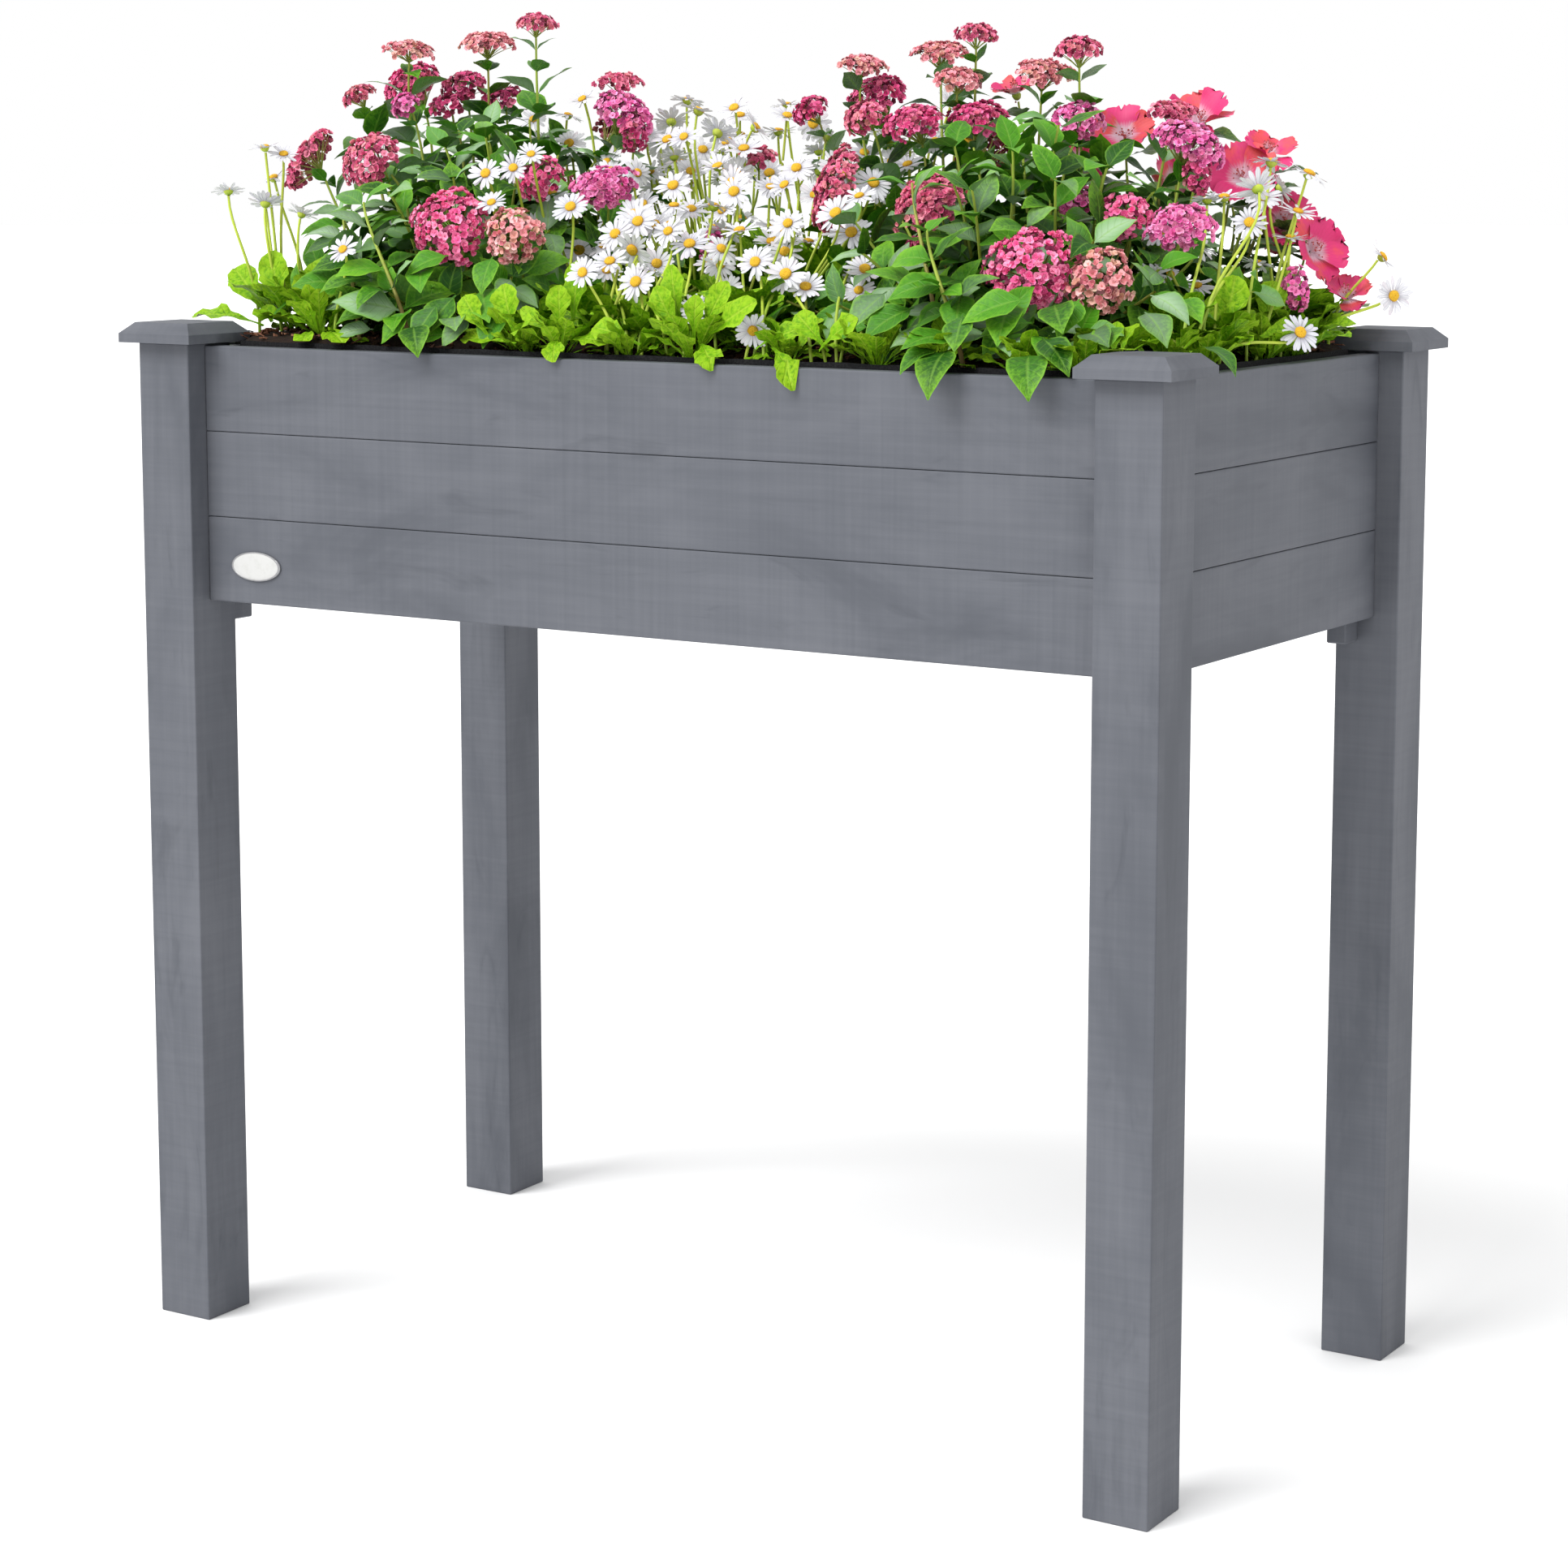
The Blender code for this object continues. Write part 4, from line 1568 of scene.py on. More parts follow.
@dataclass
class Shrub:
    """A flowering shrub: shoots from the soil, opposite pairs of leaves, and flower heads.

    Attributes:
        label: Which of the two it is.
        foot: Middle of the shrub on the soil.
        spread: Half its width and depth, and its height over the soil.
        heads: Its flower heads.
        lone_leaves: Leaves with places of their own.
        front_shoots: Feet and tips of shoots that stand alone in front.
        seed: Start of its random numbers.
        leafy_shoots: Shoots that carry no head.
        low_shoots: Short shoots round the foot, which reach for the rim.
        internode: Distance between pairs of leaves.
        leaf_length: Leaf length at the foot and at the tip of a shoot.
        leaf_width: Leaf width there, as a share of the length.
        thickness: A shoot's radius there.
        points: Points along a shoot.
    """

    label: str
    foot: Pair
    spread: Point
    heads: tuple[Head, ...]
    lone_leaves: tuple[LoneLeaf, ...]
    front_shoots: tuple[tuple[Point, Point], ...]
    seed: int
    leafy_shoots: int = 66
    low_shoots: int = 20
    internode: float = 0.016
    leaf_length: Pair = (0.047, 0.032)
    leaf_width: Pair = (0.68, 0.55)
    thickness: Pair = (0.0019, 0.0009)
    points: int = 15

    def shoot_ends(self, rng: Random) -> tuple[Array, Array]:
        """Where shoots end: under each head, and all over the crown.

        Args:
            rng: Random numbers.

        Returns:
            Their ends and the ways they point there.
        """
        count = self.leafy_shoots
        order = (np.arange(count) + 0.5) / count
        rise = 1 - order * 0.92
        reach = np.sqrt(1 - rise**2)
        turn = np.arange(count) * GOLDEN_TURN + rng.uniform(0, math.tau)
        crown = np.column_stack([reach * np.cos(turn), reach * np.sin(turn), rise])
        inner = (np.arange(count) % 4 == 3)[:, None]
        deep, shallow = rng.uniform(0.5, 0.7, (count, 1)), rng.uniform(0.8, 1.0, (count, 1))
        crown = crown * np.where(inner, deep, shallow)
        middle = np.array((*self.foot, SOIL_TOP))
        leafy = middle + crown * np.array(self.spread)
        leafy_ways = unit(crown * (1.0, 1.0, 0.5) + UP * 0.55 + rng.normal(0, 0.12, (count, 3)))
        count = self.low_shoots
        turn = math.tau * (np.arange(count) + rng.uniform(0, 0.6, count)) / count
        reach = rng.uniform(0.95, 1.18, count)
        x = self.foot[0] + np.cos(turn) * reach * self.spread[0]
        y = np.clip(self.foot[1] + np.sin(turn) * reach * self.spread[1], -BACK_Y + 0.01, BACK_Y - 0.01)
        low = np.column_stack([x, y, SOIL_TOP + rng.uniform(0.018, 0.046, count)])
        low_ways = unit(np.column_stack([np.cos(turn), np.sin(turn), np.full(count, 0.45)]))
        necks = np.array([head.neck() for head in self.heads])
        ways = np.array([unit(head.axes()[2] * 0.5 + UP * 0.65) for head in self.heads])
        return np.concatenate([necks, leafy, low]), np.concatenate([ways, leafy_ways, low_ways])

    def shoots(self, rng: Random) -> Array:
        """Shoots from the soil to their ends, those with heads first.

        Args:
            rng: Random numbers.

        Returns:
            Points along curves, (n, points, 3).
        """
        ends, ways = self.shoot_ends(rng)
        away = ends[:, :2] - self.foot
        feet = np.array(self.foot) + away * 0.42 + rng.normal(0, 0.006, away.shape)
        feet = np.clip(feet, (-BACK_X + 0.035, -BACK_Y + 0.03), (BACK_X - 0.035, BACK_Y - 0.03))
        feet = np.column_stack([feet, Soil.height(*feet.T) - 0.004])
        length = np.linalg.norm(ends - feet, axis=1, keepdims=True)
        lean = np.column_stack([away * 1.2, np.full(len(away), 0.12)])
        behind = arcs(feet, feet + unit(lean) * length * 0.35, ends - ways * length * 0.32, ends, self.points)
        feet, ends = np.array(self.front_shoots).transpose(1, 0, 2)
        rise = (ends - feet) * (0.5, 0.5, 1.0)
        front = arcs(feet, feet + rise * 0.35, ends - UP * 0.02, ends, self.points)
        return np.concatenate([behind, front])

    def leaves(self, shoots: Array, rng: Random) -> dict[str, Array]:
        """Opposite pairs of leaves along the shoots, each pair square to the one below.

        Args:
            shoots: The shoots.
            rng: Random numbers.

        Returns:
            What Blade.sheets takes, with the tone.
        """
        rows: list[tuple] = []
        middle = np.array((*self.foot, SOIL_TOP))
        for number, path in enumerate(shoots):
            steps = np.linalg.norm(np.diff(path, axis=0), axis=1)
            gone = np.concatenate([[0], np.cumsum(steps)])
            has_head = number < len(self.heads)
            first, last = 0.22, 1 - (0.01 if has_head else 0.003) / gone[-1]
            pairs = max(3, round(gone[-1] * (last - first) / self.internode))
            turn = rng.uniform(0, math.pi)
            for share in np.linspace(first, last, pairs):
                spot = place_at(path, gone, share * gone[-1])
                ahead = unit(place_at(path, gone, share * gone[-1] + 0.004) - spot + UP * 1e-4)
                one = side_of(ahead[None])[0]
                two = np.cross(ahead, one)
                turn += math.pi / 2 + rng.normal(0, 0.18)
                outward = unit(spot - middle)
                height = (spot[2] - SOIL_TOP) / self.spread[2]
                for sign in (1, -1):
                    rise = rng.normal(0.55 if share > 0.7 else 0.35, 0.16)
                    radial = (one * math.cos(turn) + two * math.sin(turn)) * sign
                    along = unit(radial * math.cos(rise) + ahead * math.sin(rise) + outward * 0.25)
                    face = unit(UP * 0.6 + outward * 0.8 + ahead * 0.2 + rng.normal(0, 0.18, 3))
                    size = np.interp(share**1.4, (0, 1), self.leaf_length) * rng.uniform(0.82, 1.16)
                    if has_head and share > 0.88:
                        size *= 0.72
                    wide = size * np.interp(share, (0, 1), self.leaf_width) * rng.uniform(0.9, 1.1)
                    droop, fold, twist = rng.normal(0.8, 0.28), rng.normal(0.17, 0.09), rng.normal(0, 0.22)
                    # Painted light: the third tone, read as lit, drops a little the higher a leaf sits.
                    tone = (rng.uniform(0, 1), rng.uniform(0, 1), 0.3 - 0.05 * height + rng.normal(0, 0.3))
                    rows.append((spot, along, face, size, wide, droop, fold, twist, tone))
        return gathered(rows)

    def build(self, finishes: dict[Tint, Material], leaf: Material, stem: Material, stalk: Material) -> None:
        """Builds the shrub.

        Args:
            finishes: The florets' materials.
            leaf: The leaves' material.
            stem: The stems' material.
            stalk: The florets' stalks' material.
        """
        rng = np.random.default_rng(self.seed)
        shoots = self.shoots(rng)
        stems = Draft()
        tone = tones(rng.uniform(0, 1, len(shoots)))
        add_tubes(stems, shoots, np.linspace(*self.thickness, self.points), 6, tone)
        put_on(stems.build(f"{self.label}_shrub_stems", stem), "shrub_leaves")
        foliage = Draft()
        add_sheets(foliage, SHRUB_LEAF, settle=True, **self.leaves(shoots, rng))
        add_lone_leaves(foliage, SHRUB_LEAF, self.lone_leaves, (0.05, 0.0, -0.2), (0.75, 1.0, 0.65))
        bush = f"hydrangea_{self.label}_bush"
        put_on(foliage.build(f"{self.label}_shrub_leaves", leaf), "shrub_leaves", bush)
        for head in self.heads:
            head.build(rng, finishes, stalk)


LEFT_HEADS = (
    Head("left_top_head", (-0.236, 0.03, 0.989), (0.1, -0.1, 1.0), (0.0135, 0.012, 0.008), Tint.ROSE,
         stands_for="hydrangea_left_top_head", spacing=0.0038),
    Head("left_far_head", (-0.359, 0.03, 0.97), (0.3, -0.2, 0.9), (0.019, 0.015, 0.007), Tint.DUSTY,
         spacing=0.0038),
    Head("left_upper_head", (-0.306, 0.06, 0.975), (0.1, -0.25, 0.95), (0.022, 0.018, 0.009), Tint.DUSTY,
         stands_for="hydrangea_left_upper_head", spacing=0.0038),
    Head("left_end_head", (-0.387, 0.0, 0.935), (-0.3, -0.35, 0.85), (0.014, 0.012, 0.008), Tint.ROSE,
         spacing=0.0038),
    Head("left_dark_head", (-0.388, 0.07, 0.943), (-0.25, -0.5, 0.8), (0.027, 0.021, 0.016), Tint.MAGENTA),
    Head("left_dark_head_small", (-0.336, 0.07, 0.943), (0.1, -0.5, 0.8), (0.017, 0.014, 0.01), Tint.MAGENTA),
    Head("left_mauve_bud_head", (-0.341, 0.0, 0.928), (-0.2, -0.7, 0.6), (0.012, 0.009, 0.008), Tint.MAUVE),
    Head("left_slanted_head", (-0.388, -0.06, 0.885), (-0.8, -0.2, 0.6), (0.017, 0.027, 0.01), Tint.ROSE),
    Head("left_side_head", (-0.312, -0.08, 0.886), (-0.15, -0.82, 0.5), (0.023, 0.021, 0.014), Tint.ROSE,
         stands_for="hydrangea_left_side_head"),
    Head("left_front_head", (-0.201, -0.128, 0.838), (0.2, -0.85, 0.45), (0.0275, 0.0275, 0.018), Tint.PINK,
         stands_for="hydrangea_left_front_head"),
    Head("left_pale_head", (-0.15, -0.118, 0.832), (0.3, -0.85, 0.35), (0.02, 0.019, 0.012), Tint.SALMON,
         stands_for="hydrangea_left_pale_head", spacing=0.0047),
    Head("left_rosy_head", (-0.171, -0.055, 0.872), (0.1, -0.8, 0.5), (0.016, 0.016, 0.01), Tint.PINK),
    Head("left_right_head", (-0.118, -0.048, 0.865), (0.35, -0.75, 0.5), (0.024, 0.017, 0.012), Tint.MAUVE,
         roll=0.25, stands_for="hydrangea_left_right_head"),
    Head("left_arching_head", (-0.169, 0.05, 0.92), (0.4, -0.1, 0.9), (0.018, 0.026, 0.015), Tint.MAUVE),
    Head("left_hidden_head", (-0.186, 0.07, 0.944), (0.42, -0.25, 0.85), (0.02, 0.01, 0.007), Tint.ROSE),
    Head("left_under_arch_head", (-0.152, 0.04, 0.906), (0.5, -0.7, 0.3), (0.009, 0.013, 0.008),
         Tint.MAGENTA),
    Head("left_inner_head", (-0.304, 0.08, 0.934), (0.1, -0.35, 0.85), (0.015, 0.012, 0.009), Tint.MAGENTA),
    Head("left_low_dark_head", (-0.337, 0.05, 0.928), (0.05, -0.6, 0.7), (0.014, 0.01, 0.008), Tint.MAGENTA),
    Head("left_outer_head", (-0.066, 0.08, 0.886), (0.1, -0.45, 0.8), (0.015, 0.011, 0.008), Tint.ROSE),
    Head("left_low_mauve_head", (-0.053, 0.0, 0.822), (0.3, -0.85, 0.3), (0.008, 0.014, 0.007), Tint.MAUVE),
    Head("left_back_head_low", (-0.3, 0.122, 0.868), (-0.25, 0.8, 0.55), (0.024, 0.022, 0.014), Tint.PINK),
    Head("left_back_head_high", (-0.215, 0.105, 0.905), (0.25, 0.7, 0.65), (0.022, 0.018, 0.012), Tint.ROSE),
    Head("left_back_head_end", (-0.365, 0.105, 0.845), (-0.45, 0.7, 0.5), (0.019, 0.018, 0.012), Tint.MAUVE),
)

RIGHT_HEADS = (
    Head("right_top_head", (0.141, 0.05, 0.975), (0.1, -0.1, 1.0), (0.0135, 0.012, 0.008), Tint.ROSE,
         stands_for="hydrangea_right_top_head", spacing=0.0038),
    Head("right_upper_head", (0.224, 0.05, 0.963), (0.05, -0.15, 1.0), (0.0145, 0.013, 0.01), Tint.ROSE,
         stands_for="hydrangea_right_upper_head", spacing=0.0038),
    Head("right_far_head", (0.045, 0.05, 0.954), (0.3, -0.2, 0.9), (0.018, 0.014, 0.007), Tint.DUSTY,
         spacing=0.0038),
    Head("right_back_umbel", (0.094, 0.08, 0.962), (0.1, -0.25, 0.95), (0.021, 0.018, 0.009), Tint.DUSTY,
         spacing=0.0038),
    Head("right_low_umbel", (0.137, 0.03, 0.942), (0.25, -0.3, 0.9), (0.018, 0.014, 0.008), Tint.DUSTY,
         spacing=0.004),
    Head("right_wide_umbel", (0.19, 0.06, 0.946), (0.25, -0.3, 0.9), (0.021, 0.016, 0.01), Tint.DUSTY,
         spacing=0.0038),
    Head("right_dark_head", (0.047, 0.07, 0.932), (-0.2, -0.5, 0.8), (0.024, 0.018, 0.014), Tint.MAGENTA,
         stands_for="hydrangea_right_back_head"),
    Head("right_dark_head_end", (-0.011, 0.07, 0.922), (-0.35, -0.5, 0.75), (0.014, 0.012, 0.01),
         Tint.MAGENTA),
    Head("right_dark_head_low", (0.113, 0.01, 0.91), (-0.1, -0.55, 0.78), (0.025, 0.017, 0.013),
         Tint.MAGENTA),
    Head("right_pink_bud_head", (0.071, 0.01, 0.916), (-0.3, -0.6, 0.65), (0.017, 0.013, 0.01), Tint.ROSE),
    Head("right_dark_head_inner", (0.154, 0.03, 0.913), (0.25, -0.5, 0.78), (0.022, 0.016, 0.012),
         Tint.MAGENTA),
    Head("right_slanted_head", (0.066, -0.02, 0.865), (-0.45, -0.7, 0.45), (0.019, 0.036, 0.012), Tint.ROSE,
         roll=0.45),
    Head("right_side_head", (0.168, -0.062, 0.856), (-0.05, -0.82, 0.52), (0.026, 0.023, 0.014), Tint.ROSE,
         stands_for="hydrangea_right_side_head"),
    Head("right_front_head", (0.282, -0.128, 0.815), (0.25, -0.85, 0.42), (0.029, 0.028, 0.018), Tint.PINK,
         stands_for="hydrangea_right_front_head"),
    Head("right_pale_head", (0.327, -0.115, 0.808), (0.35, -0.82, 0.35), (0.021, 0.02, 0.012), Tint.SALMON,
         stands_for="hydrangea_right_pale_head", spacing=0.0047),
    Head("right_rosy_head", (0.307, -0.04, 0.849), (0.1, -0.8, 0.5), (0.016, 0.016, 0.01), Tint.PINK),
    Head("right_mauve_head", (0.343, -0.028, 0.841), (0.4, -0.72, 0.5), (0.023, 0.017, 0.012), Tint.MAUVE,
         roll=0.25),
    Head("right_arching_head", (0.314, 0.045, 0.896), (0.4, -0.1, 0.9), (0.018, 0.028, 0.015), Tint.MAUVE,
         stands_for="hydrangea_right_right_head"),
    Head("right_hidden_head", (0.286, 0.075, 0.919), (0.42, -0.25, 0.85), (0.02, 0.01, 0.007), Tint.ROSE),
    Head("right_under_arch_head", (0.325, 0.035, 0.877), (0.5, -0.7, 0.3), (0.009, 0.013, 0.008),
         Tint.MAGENTA),
    Head("right_inner_head", (0.259, -0.02, 0.857), (0.2, -0.8, 0.5), (0.012, 0.01, 0.008), Tint.MAUVE),
    Head("right_mauve_inner_head", (0.229, 0.04, 0.914), (0.3, -0.55, 0.75), (0.018, 0.015, 0.011),
         Tint.MAUVE),
    Head("right_under_head", (0.147, -0.03, 0.826), (0.0, -0.85, 0.45), (0.016, 0.008, 0.007), Tint.MAGENTA),
    Head("right_low_mauve_head", (0.394, 0.05, 0.799), (0.6, -0.72, 0.25), (0.008, 0.014, 0.008), Tint.MAUVE),
    Head("right_back_head_high", (0.12, 0.105, 0.89), (-0.15, 0.75, 0.62), (0.023, 0.02, 0.013), Tint.ROSE),
    Head("right_back_head_low", (0.06, 0.118, 0.845), (-0.35, 0.8, 0.5), (0.025, 0.023, 0.015), Tint.PINK),
)

LEFT_FRONT_SHOOTS = (
    ((-0.205, -0.172, 0.754), (-0.264, -0.15, 0.856)),
    ((-0.262, -0.16, 0.754), (-0.3, -0.13, 0.85)),
)
RIGHT_FRONT_SHOOTS = (
    ((0.258, -0.176, 0.75), (0.218, -0.156, 0.842)),
    ((0.226, -0.15, 0.754), (0.18, -0.11, 0.872)),
)

LEFT_LEAVES = each(
    LoneLeaf,
    ((-0.187, -0.191, 0.768), (0.6, -0.8, -0.1), (0.0, -0.3, 1.0), 0.037, 0.024, 1.3),
    ((-0.225, -0.165, 0.79), (-0.15, -0.8, 0.3), (0.0, -0.2, 1.0), 0.04, 0.026, 1.5),
    ((-0.246, -0.16, 0.8), (-0.55, -0.65, 0.1), (-0.1, -0.6, 0.8), 0.044, 0.027, 0.9),
    ((-0.268, -0.15, 0.812), (-0.7, -0.5, 0.1), (-0.1, -0.7, 0.7), 0.04, 0.024, 0.9),
    ((-0.172, -0.16, 0.79), (-0.2, -0.6, -0.5), (0.1, -0.8, 0.6), 0.042, 0.027, 0.4),
    ((-0.15, -0.158, 0.795), (0.4, -0.5, -0.3), (0.1, -0.8, 0.6), 0.04, 0.026, 0.5),
    ((-0.128, -0.16, 0.785), (-0.05, -0.6, -0.6), (0.0, -0.9, 0.5), 0.04, 0.028, 0.3),
    ((-0.205, -0.155, 0.812), (0.3, -0.6, -0.2), (0.1, -0.7, 0.7), 0.036, 0.024, 0.8),
    ((-0.186, -0.15, 0.818), (-0.4, -0.6, -0.1), (0.0, -0.7, 0.7), 0.036, 0.024, 0.8),
    ((-0.146, -0.15, 0.818), (0.1, -0.6, -0.5), (0.1, -0.8, 0.6), 0.034, 0.022, 0.6),
    ((-0.236, -0.166, 0.776), (-0.5, -0.7, 0.1), (-0.1, -0.6, 0.8), 0.036, 0.024, 0.9),
    ((-0.214, -0.166, 0.776), (0.2, -0.75, 0.0), (0.0, -0.7, 0.7), 0.034, 0.023, 0.9),
    ((-0.166, -0.168, 0.774), (0.4, -0.7, 0.1), (0.1, -0.6, 0.8), 0.034, 0.023, 0.9),
    ((-0.254, -0.16, 0.782), (-0.75, -0.4, 0.1), (-0.2, -0.6, 0.8), 0.036, 0.023, 0.8),
    ((-0.348, -0.07, 0.832), (-0.75, -0.45, 0.15), (-0.2, -0.5, 0.9), 0.036, 0.018, 0.9),
    ((-0.346, -0.07, 0.846), (-0.8, -0.35, 0.2), (-0.2, -0.5, 0.9), 0.034, 0.017, 0.9),
    ((-0.33, -0.09, 0.836), (-0.5, -0.6, 0.1), (-0.1, -0.6, 0.8), 0.036, 0.022, 0.8),
    ((-0.318, -0.1, 0.826), (-0.7, -0.5, 0.0), (-0.1, -0.6, 0.8), 0.038, 0.023, 0.8),
    ((-0.202, -0.176, 0.778), (-0.4, -0.55, -0.6), (-0.1, -0.8, 0.6), 0.032, 0.022, 0.3),
    ((-0.178, -0.174, 0.784), (-0.2, -0.55, -0.6), (0.0, -0.8, 0.6), 0.036, 0.024, 0.3),
    ((-0.15, -0.172, 0.776), (-0.3, -0.55, -0.45), (0.0, -0.8, 0.6), 0.032, 0.022, 0.5),
    ((-0.236, -0.176, 0.764), (-0.6, -0.55, 0.05), (-0.1, -0.7, 0.7), 0.03, 0.019, 0.8),
    ((-0.166, -0.178, 0.762), (-0.7, -0.45, 0.05), (-0.1, -0.7, 0.7), 0.028, 0.019, 0.6),
)

RIGHT_LEAVES = each(
    LoneLeaf,
    ((0.254, -0.19, 0.764), (0.1, -0.85, -0.15), (0.0, -0.3, 1.0), 0.05, 0.028, 1.25),
    ((0.246, -0.187, 0.764), (-0.35, -0.75, 0.0), (0.0, -0.3, 1.0), 0.036, 0.022, 1.1),
    ((0.316, -0.193, 0.763), (0.35, -0.82, -0.1), (0.0, -0.3, 1.0), 0.048, 0.029, 1.3),
    ((0.322, -0.188, 0.774), (0.75, -0.6, -0.2), (0.1, -0.4, 0.9), 0.044, 0.024, 0.9),
    ((0.262, -0.184, 0.788), (0.05, -0.5, -0.6), (0.0, -0.9, 0.3), 0.029, 0.023, 0.3),
    ((0.302, -0.172, 0.798), (-0.7, -0.5, -0.15), (-0.1, -0.7, 0.6), 0.046, 0.028, 0.6),
    ((0.214, -0.165, 0.79), (-0.4, -0.6, -0.2), (0.0, -0.7, 0.7), 0.042, 0.027, 0.7),
    ((0.236, -0.16, 0.806), (-0.6, -0.5, 0.0), (0.0, -0.7, 0.7), 0.042, 0.027, 0.8),
    ((0.246, -0.158, 0.8), (0.2, -0.6, -0.4), (0.1, -0.8, 0.6), 0.038, 0.025, 0.5),
    ((0.286, -0.16, 0.796), (0.1, -0.6, -0.3), (0.1, -0.8, 0.6), 0.044, 0.027, 0.6),
    ((0.314, -0.155, 0.794), (0.35, -0.6, -0.1), (0.2, -0.8, 0.6), 0.042, 0.026, 0.7),
    ((0.33, -0.15, 0.798), (-0.1, -0.6, -0.5), (0.1, -0.8, 0.6), 0.034, 0.024, 0.4),
    ((0.19, -0.16, 0.8), (-0.3, -0.6, -0.4), (-0.1, -0.8, 0.6), 0.04, 0.026, 0.4),
    ((0.236, -0.168, 0.772), (-0.6, -0.6, 0.1), (-0.1, -0.6, 0.8), 0.036, 0.024, 0.9),
    ((0.272, -0.168, 0.774), (-0.3, -0.75, 0.1), (0.0, -0.6, 0.8), 0.034, 0.023, 1.0),
    ((0.288, -0.165, 0.77), (0.3, -0.75, 0.1), (0.1, -0.6, 0.8), 0.034, 0.022, 0.9),
    ((0.322, -0.168, 0.772), (0.1, -0.75, 0.1), (0.1, -0.6, 0.8), 0.034, 0.023, 1.0),
    ((0.34, -0.16, 0.776), (0.6, -0.6, 0.1), (0.2, -0.6, 0.8), 0.036, 0.023, 0.8),
    ((0.3, -0.16, 0.782), (-0.55, -0.6, 0.0), (0.0, -0.7, 0.7), 0.036, 0.024, 0.7),
    ((0.4, -0.112, 0.767), (0.85, -0.1, -0.1), (0.5, -0.1, 0.9), 0.034, 0.02, 1.2),
    ((0.372, -0.14, 0.79), (0.6, -0.5, -0.2), (0.4, -0.5, 0.8), 0.04, 0.023, 0.8),
    ((0.366, -0.12, 0.8), (0.7, -0.3, -0.1), (0.4, -0.5, 0.8), 0.04, 0.022, 0.9),
    ((0.376, -0.1, 0.796), (0.6, -0.5, 0.0), (0.4, -0.5, 0.8), 0.038, 0.021, 0.9),
    ((0.354, -0.15, 0.78), (0.2, -0.7, -0.1), (0.1, -0.7, 0.7), 0.036, 0.022, 0.7),
)


SHRUBS = (
    Shrub(
        label="left", foot=(-0.252, 0.0), spread=(0.13, 0.145, 0.172), heads=LEFT_HEADS,
        lone_leaves=LEFT_LEAVES, front_shoots=LEFT_FRONT_SHOOTS, seed=21,
    ),
    Shrub(
        label="right", foot=(0.215, -0.01), spread=(0.15, 0.145, 0.165), heads=RIGHT_HEADS,
        lone_leaves=RIGHT_LEAVES, front_shoots=RIGHT_FRONT_SHOOTS, seed=22,
    ),
)


# ---- Daisies ----


RAY = Blade(stations=((0.0, 0.4), (0.3, 0.8), (0.7, 1.0), (0.93, 0.8), (1.0, 0.4)), rows=5, columns=3)
ROSETTE_LEAF = Blade(
    stations=((0.0, 0.11), (0.2, 0.13), (0.34, 0.24), (0.47, 0.54), (0.6, 0.87), (0.72, 1.0), (0.83, 0.9),
              (0.92, 0.62), (0.97, 0.36), (1.0, 0.1)),
    rows=14, columns=5, teeth=0.09, ripple=0.2, waves=3.2, bend_power=1.1,
)
# Radius and rise of the rings of a disc and of the green cup under it, as shares of the flower's radius
DISC_RINGS = (
    (0.23, -0.03), (0.29, 0.02), (0.295, 0.08), (0.26, 0.13), (0.18, 0.17), (0.09, 0.19), (0.0, 0.195),
)
CUP_RINGS = ((0.08, -0.27), (0.17, -0.22), (0.26, -0.11), (0.29, -0.01))
# Where a ray starts, how long and how wide it is, as such shares
RAY_START, RAY_LENGTH, RAY_WIDTH = 0.26, 0.76, 0.24


@dataclass(frozen=True)
class Daisy:
    """One flower.

    Attributes:
        centre: Its middle.
        facing: The way it faces.
        lift: Angle by which its rays stand up.
        foot: Where its stem starts, or None for a place by the nearest rosette.
    """

    centre: Point
    facing: Point
    lift: float = 0.12
    foot: Pair | None = None


